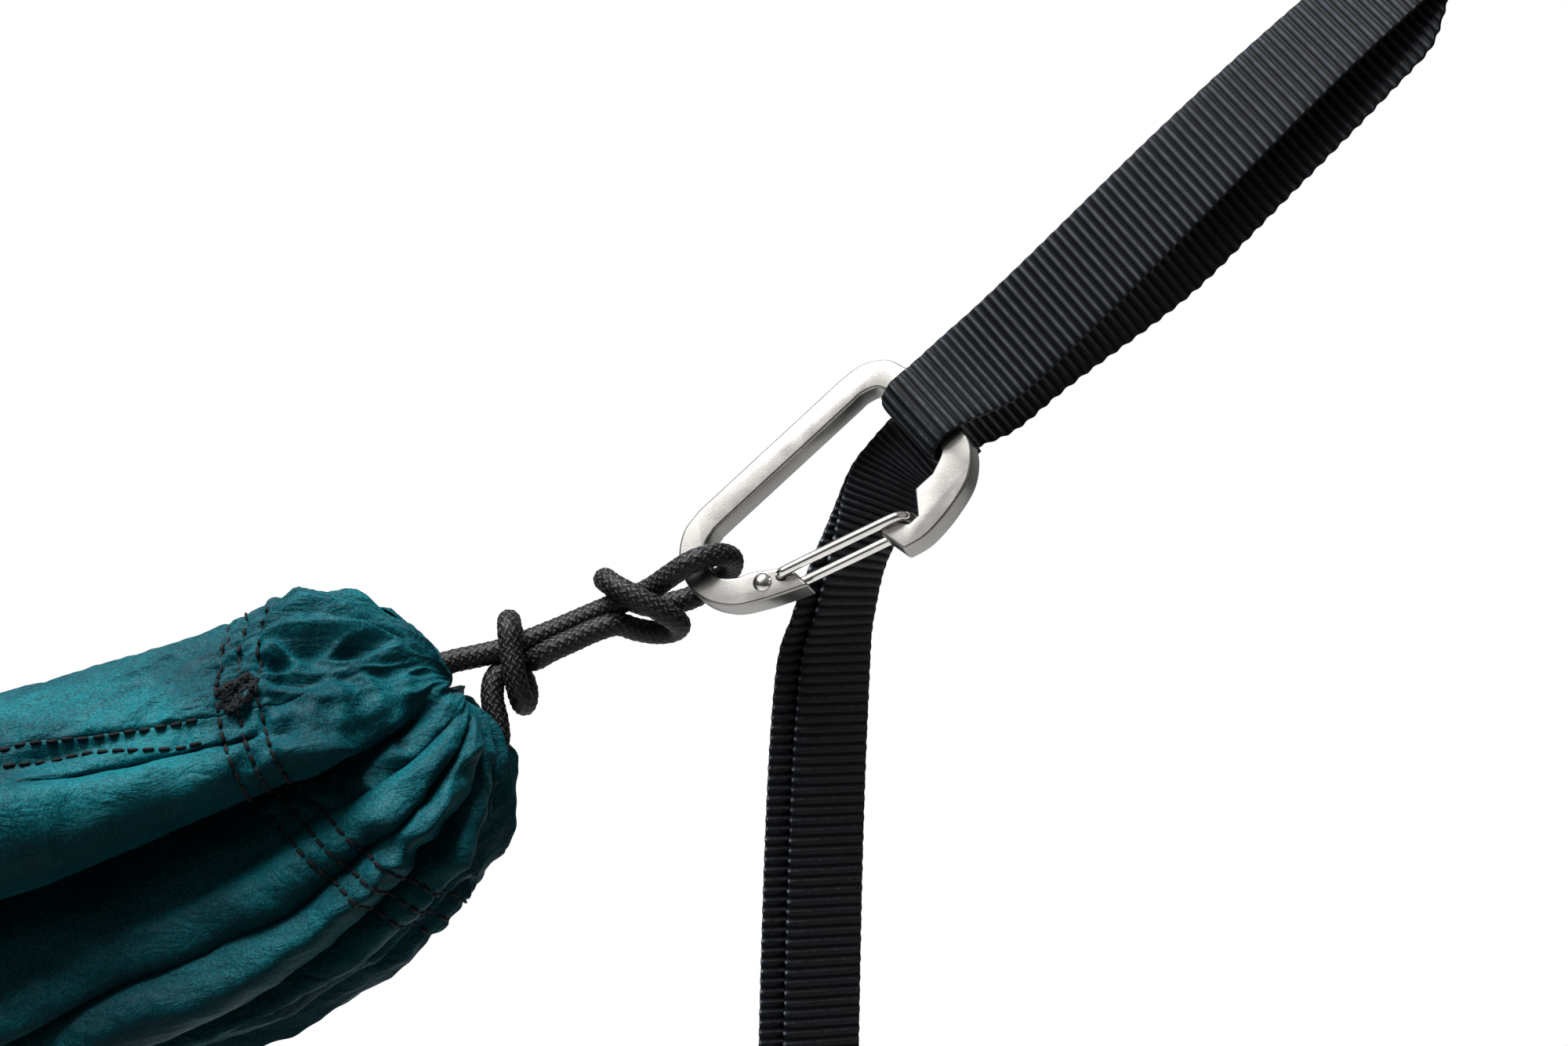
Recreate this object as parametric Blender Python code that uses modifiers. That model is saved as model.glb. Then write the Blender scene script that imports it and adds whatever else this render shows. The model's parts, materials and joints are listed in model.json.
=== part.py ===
"""A gathered-end camping hammock, hung: nylon body, and at each end a cord loop, a wire-gate
carabiner and a two-layer webbing strap. X runs along the hammock, Y across it and Z up.
The origin is the middle of the hang line, the line between the two straps' end loops."""

from math import cos, pi, radians, sin

import bmesh
import bpy
from mathutils import Matrix, Vector

MM = 0.001
GAP = 0.3 * MM
ACROSS = Vector((0, 1, 0))

# Hang: the basket centre is where the cord pulls on the carabiner.
BASKET_X = 1.35
STRAP_RISE = radians(41)
STRAP_RUN = 0.30
CARABINER_RISE = radians(42.7)
CARABINER_TILT = radians(25)

# Carabiner, from the basket centre: U runs up the spine, V from the gate to the spine. Its outline
# is in millimetres, as runs that are each one smooth curve, with straight edges between them.
BAR_HALF_DEPTH = 4 * MM
EDGE_ROUND = 1.4 * MM
TOP_BAR_U = 61.5 * MM
STRAP_V = -8 * MM
OUTER_BASKET = ((9.4, -21.9), (3, -18.9), (-2.6, -16), (-8.6, -11.9), (-12.6, -5.6), (-13.3, 1.5),
                (-10.4, 8.3), (-5, 12.9), (1.5, 14.4))
OUTER_TOP = ((50, 14.4), (57, 13.6), (62.8, 9.9), (65, 4.5))
OUTER_NOSE = ((65, -17), (63.5, -24), (57.5, -30), (48.5, -33), (39.5, -34), (33, -32.6))
HOOK = ((31.6, -25.2), (32.6, -23.6), (34.4, -23.4), (38.6, -28.2), (41.4, -28.2), (45.6, -22.2))
INNER_NOSE = ((51.5, -22.3), (56.8, -19.6), (58, -15))
INNER_TOP = ((58, 1.5), (56.3, 5.6), (52.5, 7.3), (49, 7.4))
INNER_BASKET = ((1.5, 7.4), (-3.2, 5.8), (-6.2, 1.5), (-6, -3), (-3.2, -6.4), (1, -8.6), (8.8, -14.4))

# Gate and its rivet, in the same U and V
WIRE_RADIUS = 1.3 * MM
GATE_HINGE = (5.8, -14.8)
GATE_END = (39.9, -26.2)
GATE_HALF_SPREAD = BAR_HALF_DEPTH + WIRE_RADIUS + 0.5 * MM
RIVET_AT = (1.2, -12.6)
RIVET_RADIUS = 1.5 * MM
RIVET_HEAD = 2.5 * MM
RIVET_RISE = 1.3 * MM

# Webbing: the strap's front layer carries the load and goes round the top bar.
WEB_WIDTH = 25 * MM
WEB_THICK = 1.5 * MM
WRAP_RADIUS = 7 * MM
LAYER = WEB_THICK / 2 + 0.2 * MM
WRAP_WIDTH = 20 * MM
EYE_HALF = 16 * MM
EYE_END_HALF = 6 * MM
EYE_START = 0.178
END_CENTRE = STRAP_RUN - WEB_THICK / 2
BACK_LAYER_FRONT = -(WRAP_RADIUS + WEB_THICK + 2 * GAP)
JOIN = (0.026, LAYER)

# Tail: its path beside the basket as (X, Z, Y), and each point's width as a direction and millimetres.
TAIL_TOP = (-9 * MM, -11 * MM)
TAIL_ROUTE = ((40.5, 19, 9), (32, 3, 11), (27, -14, 12), (24, -32, 12), (21.5, -90, 12),
              (19.5, -200, 12), (18.5, -350, 12), (18, -500, 12), (18, -640, 12))
TAIL_TURNS = ((0.9, -0.3, -0.4, 19), (0.97, 0.0, -0.2, 15), (0.93, 0.3, 0, 19), (0.88, 0.45, 0, 25),
              (0.88, 0.45, 0, 25), (0.9, 0.4, 0, 25), (0.92, 0.35, 0, 25), (0.92, 0.35, 0, 25),
              (0.92, 0.35, 0, 25))
TAIL_LAYER = WEB_THICK / 2 + GAP
TACK = Vector((3, 21, 0.6)) * MM
TACK_ALONG = 0.165

# Cord, as millimetres beside the basket and half sizes along, across and deep
CORD_RADIUS = 3 * MM
LOOP_RADIUS = 9.1 * MM
CORD_PULL = (-23.4, 0, -12.4)
LOOP_BAR = (-9.5, 2.8)
LOW_KNOT = (-55.5, -27.5)
HIGH_KNOT = (-24, -12.7)
UP_LEG = (-67.5, -24.5)
LOW_LEG = ((-54, -45.5), (-56, -38))
LOW_KNOT_SIZE = (5, 13, 8)
HIGH_KNOT_SIZE = (10, 8.5, 8)
STRAND_APART = 1.05 * CORD_RADIUS

# Fabric: the sections grow from the bundle at each end to the middle of the hammock.
RING = (-95, -48)
END_SLOPE = 0.40
MIDDLE_HALF_WIDTH = 0.33
MIDDLE_DEPTH = 0.46
MIDDLE_LIFT = 0.12
BUNDLE_RADIUS = 0.030
PANEL_THICK = 1.6 * MM
BUNDLE_WALL = 20 * MM
SPREAD_POWER = 1.4
WALL_POWER = 6
HEM_ANGLE_MIDDLE = radians(92)
HEM_ANGLE_END = radians(150)
CENTRE_SHARE = 0.46
SEAM_PER_WALL = 0.14
STATIONS = 24
CENTRE_COLUMNS = 10
SIDE_COLUMNS = 6

# Gathered end: its start past the ring, then each section's X, Z and radius in millimetres
CHANNEL_START = 4 * MM
CHANNEL_START_RADIUS = 40
CHANNEL_SIDES = 28
CHANNEL_SECTIONS = ((-82, -49, 38.5), (-72, -52, 31), (-64, -55, 21), (-57.5, -57, 9))

up_spine = Vector((cos(CARABINER_RISE), 0, sin(CARABINER_RISE)))
flat_to_spine = Vector((-sin(CARABINER_RISE), 0, cos(CARABINER_RISE)))
to_spine = flat_to_spine * cos(CARABINER_TILT) + ACROSS * sin(CARABINER_TILT)
to_front = up_spine.cross(to_spine)
along_strap = Vector((cos(STRAP_RISE), 0, sin(STRAP_RISE)))
strap_across = (along_strap * to_spine.dot(along_strap) - to_spine).normalized()
strap_front = strap_across.cross(along_strap)

top_bar_local = up_spine * TOP_BAR_U + to_spine * STRAP_V
basket = Vector((BASKET_X, 0, -(top_bar_local + along_strap * STRAP_RUN).z))
top_bar = basket + top_bar_local


def basket_point(u, v, w=0.0):
    """A point of the carabiner, in millimetres from the basket centre."""
    return basket + (up_spine * u + to_spine * v + to_front * w) * MM


def seen_point(x, z, y=0.0):
    """A point beside the basket centre, in millimetres along X and Z, and Y across."""
    return basket + Vector((x, y, z)) * MM


def strap_point(along, front):
    return top_bar + along_strap * along + strap_front * front


ring = seen_point(*RING)
cord_pull = Vector(CORD_PULL).normalized()
loop_bar = basket_point(*LOOP_BAR)
in_carabiner = Matrix((up_spine, to_spine, to_front)).transposed().to_4x4()
carabiner_place = Matrix.Translation(basket) @ in_carabiner


def clear_scene():
    for obj in list(bpy.data.objects):
        bpy.data.objects.remove(obj, do_unlink=True)


def new_collection(name, helper=False):
    made = bpy.data.collections.new(name)
    made.hide_render = helper
    bpy.context.scene.collection.children.link(made)
    return made


def new_material(name, colour, roughness, metallic=0.0):
    made = bpy.data.materials.new(name)
    made.use_nodes = True
    shader = made.node_tree.nodes["Principled BSDF"]
    shader.inputs["Base Color"].default_value = (*colour, 1)
    shader.inputs["Roughness"].default_value = roughness
    shader.inputs["Metallic"].default_value = metallic
    return made


def add_object(name, data, material, collection):
    obj = bpy.data.objects.new(name, data)
    data.materials.append(material)
    collection.objects.link(obj)
    return obj


def place_in(obj, collection):
    for old in list(obj.users_collection):
        old.objects.unlink(obj)
    collection.objects.link(obj)


def smooth_path(points, steps):
    """Points on a Catmull-Rom curve through the given ones."""
    ends = [points[0] * 2 - points[1], *points, points[-1] * 2 - points[-2]]
    path = []
    for i in range(len(points) - 1):
        a, b, c, d = ends[i : i + 4]
        for step in range(steps):
            t = step / steps
            path.append(
                0.5 * (2 * b + (c - a) * t + (2 * a - 5 * b + 4 * c - d) * t**2)
                + 0.5 * (3 * b - a - 3 * c + d) * t**3
            )
    path.append(points[-1])
    return path


def shell(name, rows, thickness, material, wall=None):
    """An open grid of points, made a closed sheet by Solidify. wall gives each row's share of it."""
    mesh = bpy.data.meshes.new(name)
    count = len(rows[0])
    faces = []
    for i in range(len(rows) - 1):
        for j in range(count - 1):
            corner = i * count + j
            faces.append((corner, corner + 1, corner + count + 1, corner + count))
    mesh.from_pydata([point for row in rows for point in row], [], faces)
    mesh.shade_smooth()
    obj = add_object(name, mesh, material, parts)
    thicken = obj.modifiers.new("thickness", "SOLIDIFY")
    thicken.thickness = thickness
    thicken.offset = 0
    thicken.use_even_offset = True
    if wall:
        group = obj.vertex_groups.new(name="wall")
        for i, share in enumerate(wall):
            group.add(list(range(i * count, (i + 1) * count)), share, "REPLACE")
        thicken.vertex_group = group.name
    return obj


def tube(name, path, radius, material, sides=2):
    curve = bpy.data.curves.new(name, "CURVE")
    curve.dimensions = "3D"
    curve.bevel_depth = radius
    curve.bevel_resolution = sides
    curve.use_fill_caps = True
    spline = curve.splines.new("POLY")
    spline.points.add(len(path) - 1)
    for point, place in zip(spline.points, path):
        point.co = (*place, 1)
    return add_object(name, curve, material, parts)


def as_mesh(obj):
    """The object with its evaluated shape as a welded mesh, so that a Boolean takes it."""
    graph = bpy.context.evaluated_depsgraph_get()
    mesh = bpy.data.meshes.new_from_object(obj.evaluated_get(graph))
    welded = bmesh.new()
    welded.from_mesh(mesh)
    bmesh.ops.remove_doubles(welded, verts=welded.verts, dist=0.001 * MM)
    bmesh.ops.recalc_face_normals(welded, faces=welded.faces)
    welded.to_mesh(mesh)
    welded.free()
    name, place = obj.name, obj.matrix_world.copy()
    collection = obj.users_collection[0]
    bpy.data.objects.remove(obj, do_unlink=True)
    made = bpy.data.objects.new(name, mesh)
    made.matrix_world = place
    collection.objects.link(made)
    return made


def boolean(obj, other, operation):
    other.hide_render = True
    other.display_type = "WIRE"
    modifier = obj.modifiers.new(operation.lower(), "BOOLEAN")
    modifier.operation = operation
    modifier.object = other


# ---- Fabric ----
def body_section(x):
    """Half width, depth, hem angle, wall and middle of the fabric's section at X."""
    share = abs(x) / ring.x
    spread = max(1 - share**2, 0) ** SPREAD_POWER
    half_width = BUNDLE_RADIUS + spread * (MIDDLE_HALF_WIDTH - BUNDLE_RADIUS)
    depth = BUNDLE_RADIUS + spread * (MIDDLE_DEPTH - BUNDLE_RADIUS)
    hem_angle = HEM_ANGLE_END + spread**0.5 * (HEM_ANGLE_MIDDLE - HEM_ANGLE_END)
    wall = PANEL_THICK + (BUNDLE_WALL - PANEL_THICK) * (1 - spread) ** WALL_POWER
    sag = END_SLOPE * ring.x / 2 * (1 - share**2)
    middle = Vector((x, 0, ring.z - sag + MIDDLE_LIFT * spread))
    return half_width, depth, hem_angle, wall, middle


def fabric_point(x, q):
    """A point of the fabric's middle surface: q runs from the front hem, -1, to the back hem, 1."""
    half_width, depth, hem_angle, _, middle = body_section(x)
    slope = Vector((1, 0, END_SLOPE * x / ring.x)).normalized()
    up = slope.cross(ACROSS)
    angle = q * hem_angle
    return middle + ACROSS * half_width * sin(angle) - up * depth * cos(angle)


def panel(name, start, end, steps):
    rows, wall = [], []
    for i in range(STATIONS + 1):
        x = ring.x * sin(pi / 2 * (2 * i / STATIONS - 1))
        half_width, _, hem_angle, thickness, _ = body_section(x)
        seam = (GAP + SEAM_PER_WALL * thickness) / (half_width * hem_angle)
        low = start + seam * (start > -1)
        high = end - seam * (end < 1)
        rows.append([fabric_point(x, low + (high - low) * j / steps) for j in range(steps + 1)])
        wall.append(thickness / BUNDLE_WALL)
    return shell(name, rows, BUNDLE_WALL, nylon, wall)


def end_channel():
    """The gathered, sewn end of the fabric, drawn closed round the cord like a bag."""
    slope = Vector((1, 0, END_SLOPE)).normalized()
    up = slope.cross(ACROSS)
    start = ring + slope * CHANNEL_START
    sections = [(start, CHANNEL_START_RADIUS)]
    sections += [(seen_point(x, z), r) for x, z, r in CHANNEL_SECTIONS]
    built = bmesh.new()
    loops = []
    for centre, radius in sections:
        turns = [2 * pi * i / CHANNEL_SIDES for i in range(CHANNEL_SIDES)]
        places = [centre + (ACROSS * cos(a) + up * sin(a)) * radius * MM for a in turns]
        loops.append([built.verts.new(place) for place in places])
    for low, high in zip(loops, loops[1:]):
        for i in range(CHANNEL_SIDES):
            j = (i + 1) % CHANNEL_SIDES
            built.faces.new((low[i], low[j], high[j], high[i]))
    built.faces.new(loops[0])
    built.faces.new(loops[-1])
    bmesh.ops.recalc_face_normals(built, faces=built.faces)
    mesh = bpy.data.meshes.new("end_channel_right")
    built.to_mesh(mesh)
    built.free()
    mesh.shade_smooth()
    return add_object(mesh.name, mesh, nylon, parts)


# ---- Cord ----
def knot(name, centre, along, across, deep):
    bpy.ops.mesh.primitive_uv_sphere_add(segments=16, ring_count=10, radius=1)
    obj = bpy.context.object
    obj.name = obj.data.name = name
    obj.data.materials.append(cord_black)
    place_in(obj, helpers)
    turn = Matrix((cord_pull, ACROSS, cord_pull.cross(ACROSS))).transposed().to_4x4()
    stretch = Matrix.Diagonal((along * MM, deep * MM, across * MM, 1))
    obj.data.transform(Matrix.Translation(centre) @ turn @ stretch)
    obj.data.shade_smooth()
    return obj


def end_cord():
    """One cord: two legs out of the fabric, two knots, and a loop round the carabiner."""
    low_knot = seen_point(*LOW_KNOT)
    high_knot = seen_point(*HIGH_KNOT)
    beside = ACROSS.cross(cord_pull) * STRAND_APART
    turns = [pi * i / 8 for i in range(9)]
    bend = [
        loop_bar + (to_front * cos(a) - cord_pull * sin(a)) * LOOP_RADIUS for a in turns
    ]
    up_path = [seen_point(*UP_LEG), low_knot + beside, high_knot + beside]
    low_path = [*[seen_point(*p) for p in LOW_LEG], low_knot - beside, high_knot - beside]
    apart = to_front * CORD_RADIUS * 1.3
    path = [high_knot + apart, *bend, high_knot - apart]
    loop = tube("cord_loop", path, CORD_RADIUS, cord_black)
    others = [
        tube("cord_strand_up", up_path, CORD_RADIUS, cord_black),
        tube("cord_strand_low", low_path, CORD_RADIUS, cord_black),
        knot("cord_knot_low", low_knot, *LOW_KNOT_SIZE),
        knot("cord_knot_high", high_knot, *HIGH_KNOT_SIZE),
    ]
    cord = as_mesh(loop)
    cord.name = cord.data.name = "end_cord_right"
    for other in others:
        piece = as_mesh(other)
        place_in(piece, helpers)
        boolean(cord, piece, "UNION")
    return cord


# ---- Carabiner ----
def outline():
    """The carabiner's flat outline, as one round of points."""
    points = []
    for run in (OUTER_BASKET, OUTER_TOP, OUTER_NOSE):
        points += smooth_path([Vector(p) for p in run], 2)
    points += [Vector(p) for p in HOOK]
    for run in (INNER_NOSE, INNER_TOP, INNER_BASKET):
        points += smooth_path([Vector(p) for p in run], 2)
    return [p * MM for p in points]


def drill(name, place, radius):
    bpy.ops.mesh.primitive_cylinder_add(vertices=16, radius=radius, depth=4 * BAR_HALF_DEPTH)
    drill_bit = bpy.context.object
    drill_bit.name = name
    place_in(drill_bit, helpers)
    drill_bit.data.transform(Matrix.Translation(Vector(place).to_3d() * MM))
    drill_bit.matrix_world = carabiner_place
    return drill_bit


def carabiner_body():
    curve = bpy.data.curves.new("carabiner_body_right", "CURVE")
    curve.dimensions = "2D"
    curve.fill_mode = "BOTH"
    curve.extrude = BAR_HALF_DEPTH
    spline = curve.splines.new("POLY")
    points = outline()
    spline.points.add(len(points) - 1)
    for point, place in zip(spline.points, points):
        point.co = (*place, 0, 1)
    spline.use_cyclic_u = True
    flat = add_object("carabiner_body_right", curve, steel, parts)
    flat.matrix_world = carabiner_place
    bpy.context.view_layer.update()
    body = as_mesh(flat)
    body.name = body.data.name = "carabiner_body_right"
    rounding = body.modifiers.new("rounding", "BEVEL")
    rounding.width = EDGE_ROUND
    rounding.segments = 2
    rounding.limit_method = "ANGLE"
    rounding.angle_limit = radians(75)
    boolean(body, drill("gate_hinge_hole", GATE_HINGE, WIRE_RADIUS + GAP), "DIFFERENCE")
    boolean(body, drill("rivet_hole", RIVET_AT, RIVET_RADIUS + GAP), "DIFFERENCE")
    return body


def gate_rivet():
    """A headed pin through the flattened tip, turned about its axis."""
    face = BAR_HALF_DEPTH + GAP
    top = face + RIVET_RISE
    profile = [(0, top), (0.6 * RIVET_HEAD, top - 0.2 * MM), (RIVET_HEAD, face + 0.3 * MM),
               (RIVET_HEAD, face), (RIVET_RADIUS, face)]
    profile += [(x, -z) for x, z in reversed(profile)]
    mesh = bpy.data.meshes.new("gate_rivet_right")
    edges = [(i, i + 1) for i in range(len(profile) - 1)]
    mesh.from_pydata([(x, 0, z) for x, z in profile], edges, [])
    rivet = add_object(mesh.name, mesh, steel, parts)
    turned = rivet.modifiers.new("turned", "SCREW")
    turned.steps = turned.render_steps = 16
    turned.use_merge_vertices = True
    turned.merge_threshold = 0.01 * MM
    rivet.matrix_world = carabiner_place @ Matrix.Translation(Vector(RIVET_AT).to_3d() * MM)
    return rivet


def wire_gate():
    """One bent wire: its ends turn in the hinge hole and its loop rests in the nose's notch."""
    hinge, end = Vector(GATE_HINGE), Vector(GATE_END)
    leg = (end - hinge).normalized()
    side = GATE_HALF_SPREAD / MM
    half = [(hinge, 1.0), (hinge, side - 1.2), (hinge + leg, side - 0.1), (hinge + leg * 2.2, side)]
    half += [(end - leg * 3.4, side), (end - leg * 1.6, side - 0.7), (end - leg * 0.4, side - 2.2)]
    path = [basket_point(*p, w) for p, w in half]
    path += [basket_point(*end, w) for w in (side - 3.6, 3.6 - side)]
    path += [basket_point(*p, -w) for p, w in reversed(half)]
    return tube("wire_gate_right", path, WIRE_RADIUS, steel)


# ---- Webbing ----
def ribbon(name, path, across):
    """Webbing along a path; across gives each point's full width as a vector."""
    rows = [[p - a / 2, p + a / 2] for p, a in zip(path, across)]
    return shell(name, rows, WEB_THICK, webbing)


def strap_ribbon(name, places):
    """Webbing whose path is given as (along, front) from the top bar; it narrows round the bar."""
    path = [strap_point(along, front) for along, front in places]
    narrow = WEB_WIDTH - WRAP_WIDTH
    widths = [WRAP_WIDTH + narrow * min(max(along / (20 * MM), 0), 1) for along, _ in places]
    return ribbon(name, path, [strap_across * width for width in widths])


def smooth_places(places):
    return smooth_path([Vector(place) for place in places], 3)


def strap_front_webbing():
    """The load webbing: from behind the top bar, round it, up to the end eye and back a little."""
    turns = [pi * i / 8 for i in range(8, -1, -1)]
    wrap = [Vector((-sin(a), cos(a))) * WRAP_RADIUS for a in turns]
    lift = [(0, WRAP_RADIUS), (0.010, 0.0050), JOIN]
    open_out = [(EYE_START - 0.008, LAYER), (EYE_START + 0.014, 0.004), (0.225, 0.014),
                (0.262, EYE_HALF), (0.288, 0.013), (END_CENTRE, EYE_END_HALF)]
    back = [(END_CENTRE, -EYE_END_HALF), (0.288, -0.013), (0.262, -EYE_HALF), (0.225, -0.014),
            (EYE_START + 0.016, -0.0035), (EYE_START + 0.008, -LAYER)]
    places = wrap[:-1] + smooth_places(lift) + smooth_places(open_out) + smooth_places(back)
    return strap_ribbon("strap_front_webbing_right", places)


def strap_back_webbing():
    join = Vector((JOIN[0], -JOIN[1]))
    drop = [join, (0.013, -0.0068), (0.003, BACK_LAYER_FRONT), (-0.004, BACK_LAYER_FRONT)]
    places = [Vector((EYE_START, -LAYER)), *smooth_places(drop)]
    return strap_ribbon("strap_back_webbing_right", places)


def tail_frames():
    """The tail's middle line from behind the bar downwards, with its width vectors."""
    path = [strap_point(*TAIL_TOP)] + [seen_point(x, z, y) for x, z, y in TAIL_ROUTE]
    across = [strap_across * WRAP_WIDTH]
    across += [Vector((x, y, z)).normalized() * width * MM for x, y, z, width in TAIL_TURNS]
    return smooth_path(path, 3), smooth_path(across, 3)


def tail_webbing(name, side):
    path, across = tail_frames()
    ahead = path[1:] + path[-1:]
    behind = path[:1] + path[:-1]
    shifted = []
    for place, width, after, before in zip(path, across, ahead, behind):
        out = (after - before).cross(width).normalized()
        shifted.append(place + out * side * TAIL_LAYER)
    return ribbon(name, shifted, across)


def bar_tack(name, centre, along, across):
    """A dense bar of stitches on the webbing's face."""
    bpy.ops.mesh.primitive_cube_add(size=1)
    tack = bpy.context.object
    tack.name = tack.data.name = name
    tack.data.materials.append(thread)
    place_in(tack, parts)
    turn = Matrix((along, across, along.cross(across))).transposed().to_4x4()
    tack.data.transform(Matrix.Translation(centre) @ turn @ Matrix.Diagonal((*TACK, 1)))
    return tack


def strap_bar_tack():
    out = LAYER + WEB_THICK / 2 + GAP + TACK.z / 2
    return bar_tack("strap_bar_tack_right", strap_point(TACK_ALONG, out), along_strap, strap_across)


def tail_bar_tack():
    path, across = tail_frames()
    end = path[-4]
    down = (path[-3] - path[-5]).normalized()
    width = across[-4].normalized()
    out = down.cross(width).normalized()
    rise = TAIL_LAYER + WEB_THICK / 2 + GAP + TACK.z / 2
    return bar_tack("tail_bar_tack_right", end + out * rise, down, width)


# ---- Assembly ----
def as_mesh_copy(obj):
    graph = bpy.context.evaluated_depsgraph_get()
    mesh = bpy.data.meshes.new_from_object(obj.evaluated_get(graph))
    mesh.transform(obj.matrix_world)
    return mesh


def mirrored(obj):
    """The left end's copy of a right-end piece, reflected in the middle plane."""
    mesh = as_mesh_copy(obj)
    mesh.transform(Matrix.Diagonal((-1, 1, 1, 1)))
    mesh.flip_normals()
    mesh.name = obj.name.replace("_right", "_left")
    made = bpy.data.objects.new(mesh.name, mesh)
    parts.objects.link(made)
    return made


def pivot(name, place, parent=None):
    empty = bpy.data.objects.new(name, None)
    parts.objects.link(empty)
    empty.location = place - (parent.matrix_world.translation if parent else Vector())
    empty.parent = parent
    bpy.context.view_layer.update()
    return empty


def hang(obj, empty):
    obj.parent = empty
    obj.matrix_parent_inverse = empty.matrix_world.inverted()


def joint_empties(side):
    """One end's joint empties: the carabiner carries its gate and the strap, which carries the tail."""
    suffix = "right" if side > 0 else "left"
    flip = Matrix.Diagonal((side, 1, 1))
    carabiner = pivot(f"carabiner_swing_{suffix}", flip @ basket)
    strap = pivot(f"strap_swing_{suffix}", flip @ top_bar, carabiner)
    return {
        "carabiner": carabiner,
        "gate": pivot(f"gate_open_{suffix}", flip @ basket_point(*GATE_HINGE), carabiner),
        "strap": strap,
        "tail": pivot(f"tail_swing_{suffix}", flip @ strap_point(*TAIL_TOP), strap),
    }


def build_end():
    fixed = [end_channel(), end_cord()]
    moving = {
        "carabiner": [carabiner_body(), gate_rivet()],
        "gate": [wire_gate()],
        "strap": [strap_front_webbing(), strap_back_webbing(), strap_bar_tack()],
        "tail": [tail_webbing("tail_front_webbing_right", 1), tail_webbing("tail_back_webbing_right", -1),
                 tail_bar_tack()],
    }
    bpy.context.view_layer.update()
    for obj in fixed:
        mirrored(obj)
    copies = {body: [mirrored(obj) for obj in objs] for body, objs in moving.items()}
    for side, pieces in ((1, moving), (-1, copies)):
        empties = joint_empties(side)
        for body, objs in pieces.items():
            for obj in objs:
                hang(obj, empties[body])


clear_scene()
parts = new_collection("camping_hammock")
helpers = new_collection("cutters", helper=True)
nylon = new_material("teal_nylon", (0.01, 0.12, 0.15), 0.45)
cord_black = new_material("black_cord", (0.01, 0.01, 0.012), 0.7)
webbing = new_material("black_webbing", (0.012, 0.012, 0.016), 0.6)
thread = new_material("black_thread", (0.01, 0.01, 0.01), 0.6)
steel = new_material("polished_steel", (0.75, 0.73, 0.7), 0.25, 1.0)

panel("front_side_panel", -1, -CENTRE_SHARE, SIDE_COLUMNS)
panel("centre_panel", -CENTRE_SHARE, CENTRE_SHARE, CENTRE_COLUMNS)
panel("back_side_panel", CENTRE_SHARE, 1, SIDE_COLUMNS)
build_end()
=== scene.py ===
"""The looks of a gathered-end camping hammock: cloth, braided cords, carabiners and ribbed straps."""

import json
from math import cos, pi, radians, sin

import bmesh
import bpy
import numpy as np
from mathutils import Matrix, Vector


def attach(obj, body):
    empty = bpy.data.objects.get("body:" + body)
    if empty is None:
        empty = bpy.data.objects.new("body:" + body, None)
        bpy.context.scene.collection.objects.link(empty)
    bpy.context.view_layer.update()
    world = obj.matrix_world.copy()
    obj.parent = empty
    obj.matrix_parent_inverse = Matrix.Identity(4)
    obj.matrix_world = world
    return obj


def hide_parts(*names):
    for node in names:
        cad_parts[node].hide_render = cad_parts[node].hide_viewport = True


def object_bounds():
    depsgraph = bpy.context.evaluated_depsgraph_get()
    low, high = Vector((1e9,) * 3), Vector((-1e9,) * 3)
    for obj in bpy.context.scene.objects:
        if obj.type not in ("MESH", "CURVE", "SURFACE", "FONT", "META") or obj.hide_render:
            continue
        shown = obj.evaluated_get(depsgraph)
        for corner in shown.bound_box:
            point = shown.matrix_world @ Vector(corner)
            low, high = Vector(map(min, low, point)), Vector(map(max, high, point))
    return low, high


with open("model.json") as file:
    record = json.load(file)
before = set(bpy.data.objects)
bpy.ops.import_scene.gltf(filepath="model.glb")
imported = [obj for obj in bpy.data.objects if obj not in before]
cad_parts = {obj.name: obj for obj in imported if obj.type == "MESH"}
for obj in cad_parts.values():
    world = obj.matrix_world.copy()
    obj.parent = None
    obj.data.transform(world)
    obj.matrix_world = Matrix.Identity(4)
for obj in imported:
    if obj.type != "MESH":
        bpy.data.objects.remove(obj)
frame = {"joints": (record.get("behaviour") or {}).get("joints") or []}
cad_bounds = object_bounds()

MM = 0.001
SIDES = {"right": 1, "left": -1}
HAMMOCK = "hammock"
joints = {joint["name"]: joint for joint in frame["joints"]}
parts = bpy.data.collections.new("hammock_looks")
bpy.context.scene.collection.children.link(parts)

# ---- Places, from the frame's joints ----
swing = joints["carabiner_swing_right"]
strap_joint = joints["strap_swing_right"]
BASKET = np.array(swing["pos_m"])
TOP_BAR = np.array(strap_joint["pos_m"])
TO_FRONT = np.array(swing["axis"]) / np.linalg.norm(swing["axis"])
STRAP_ACROSS = np.array(strap_joint["axis"]) / np.linalg.norm(strap_joint["axis"])
Y = np.array([0.0, 1.0, 0.0])
CARABINER_RISE = radians(42.7)
UP_SPINE = np.array([cos(CARABINER_RISE), 0, sin(CARABINER_RISE)])
TO_SPINE = np.cross(TO_FRONT, UP_SPINE)
ALONG_STRAP = np.array([cos(radians(41)), 0, sin(radians(41))])
STRAP_FRONT = np.cross(STRAP_ACROSS, ALONG_STRAP)


def beside(x, z, y=0.0):
    """A point in millimetres from the centre of the right carabiner's basket."""
    return BASKET + np.array([x, y, z]) * MM


def unit(v):
    return v / np.linalg.norm(v, axis=-1, keepdims=True)


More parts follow.
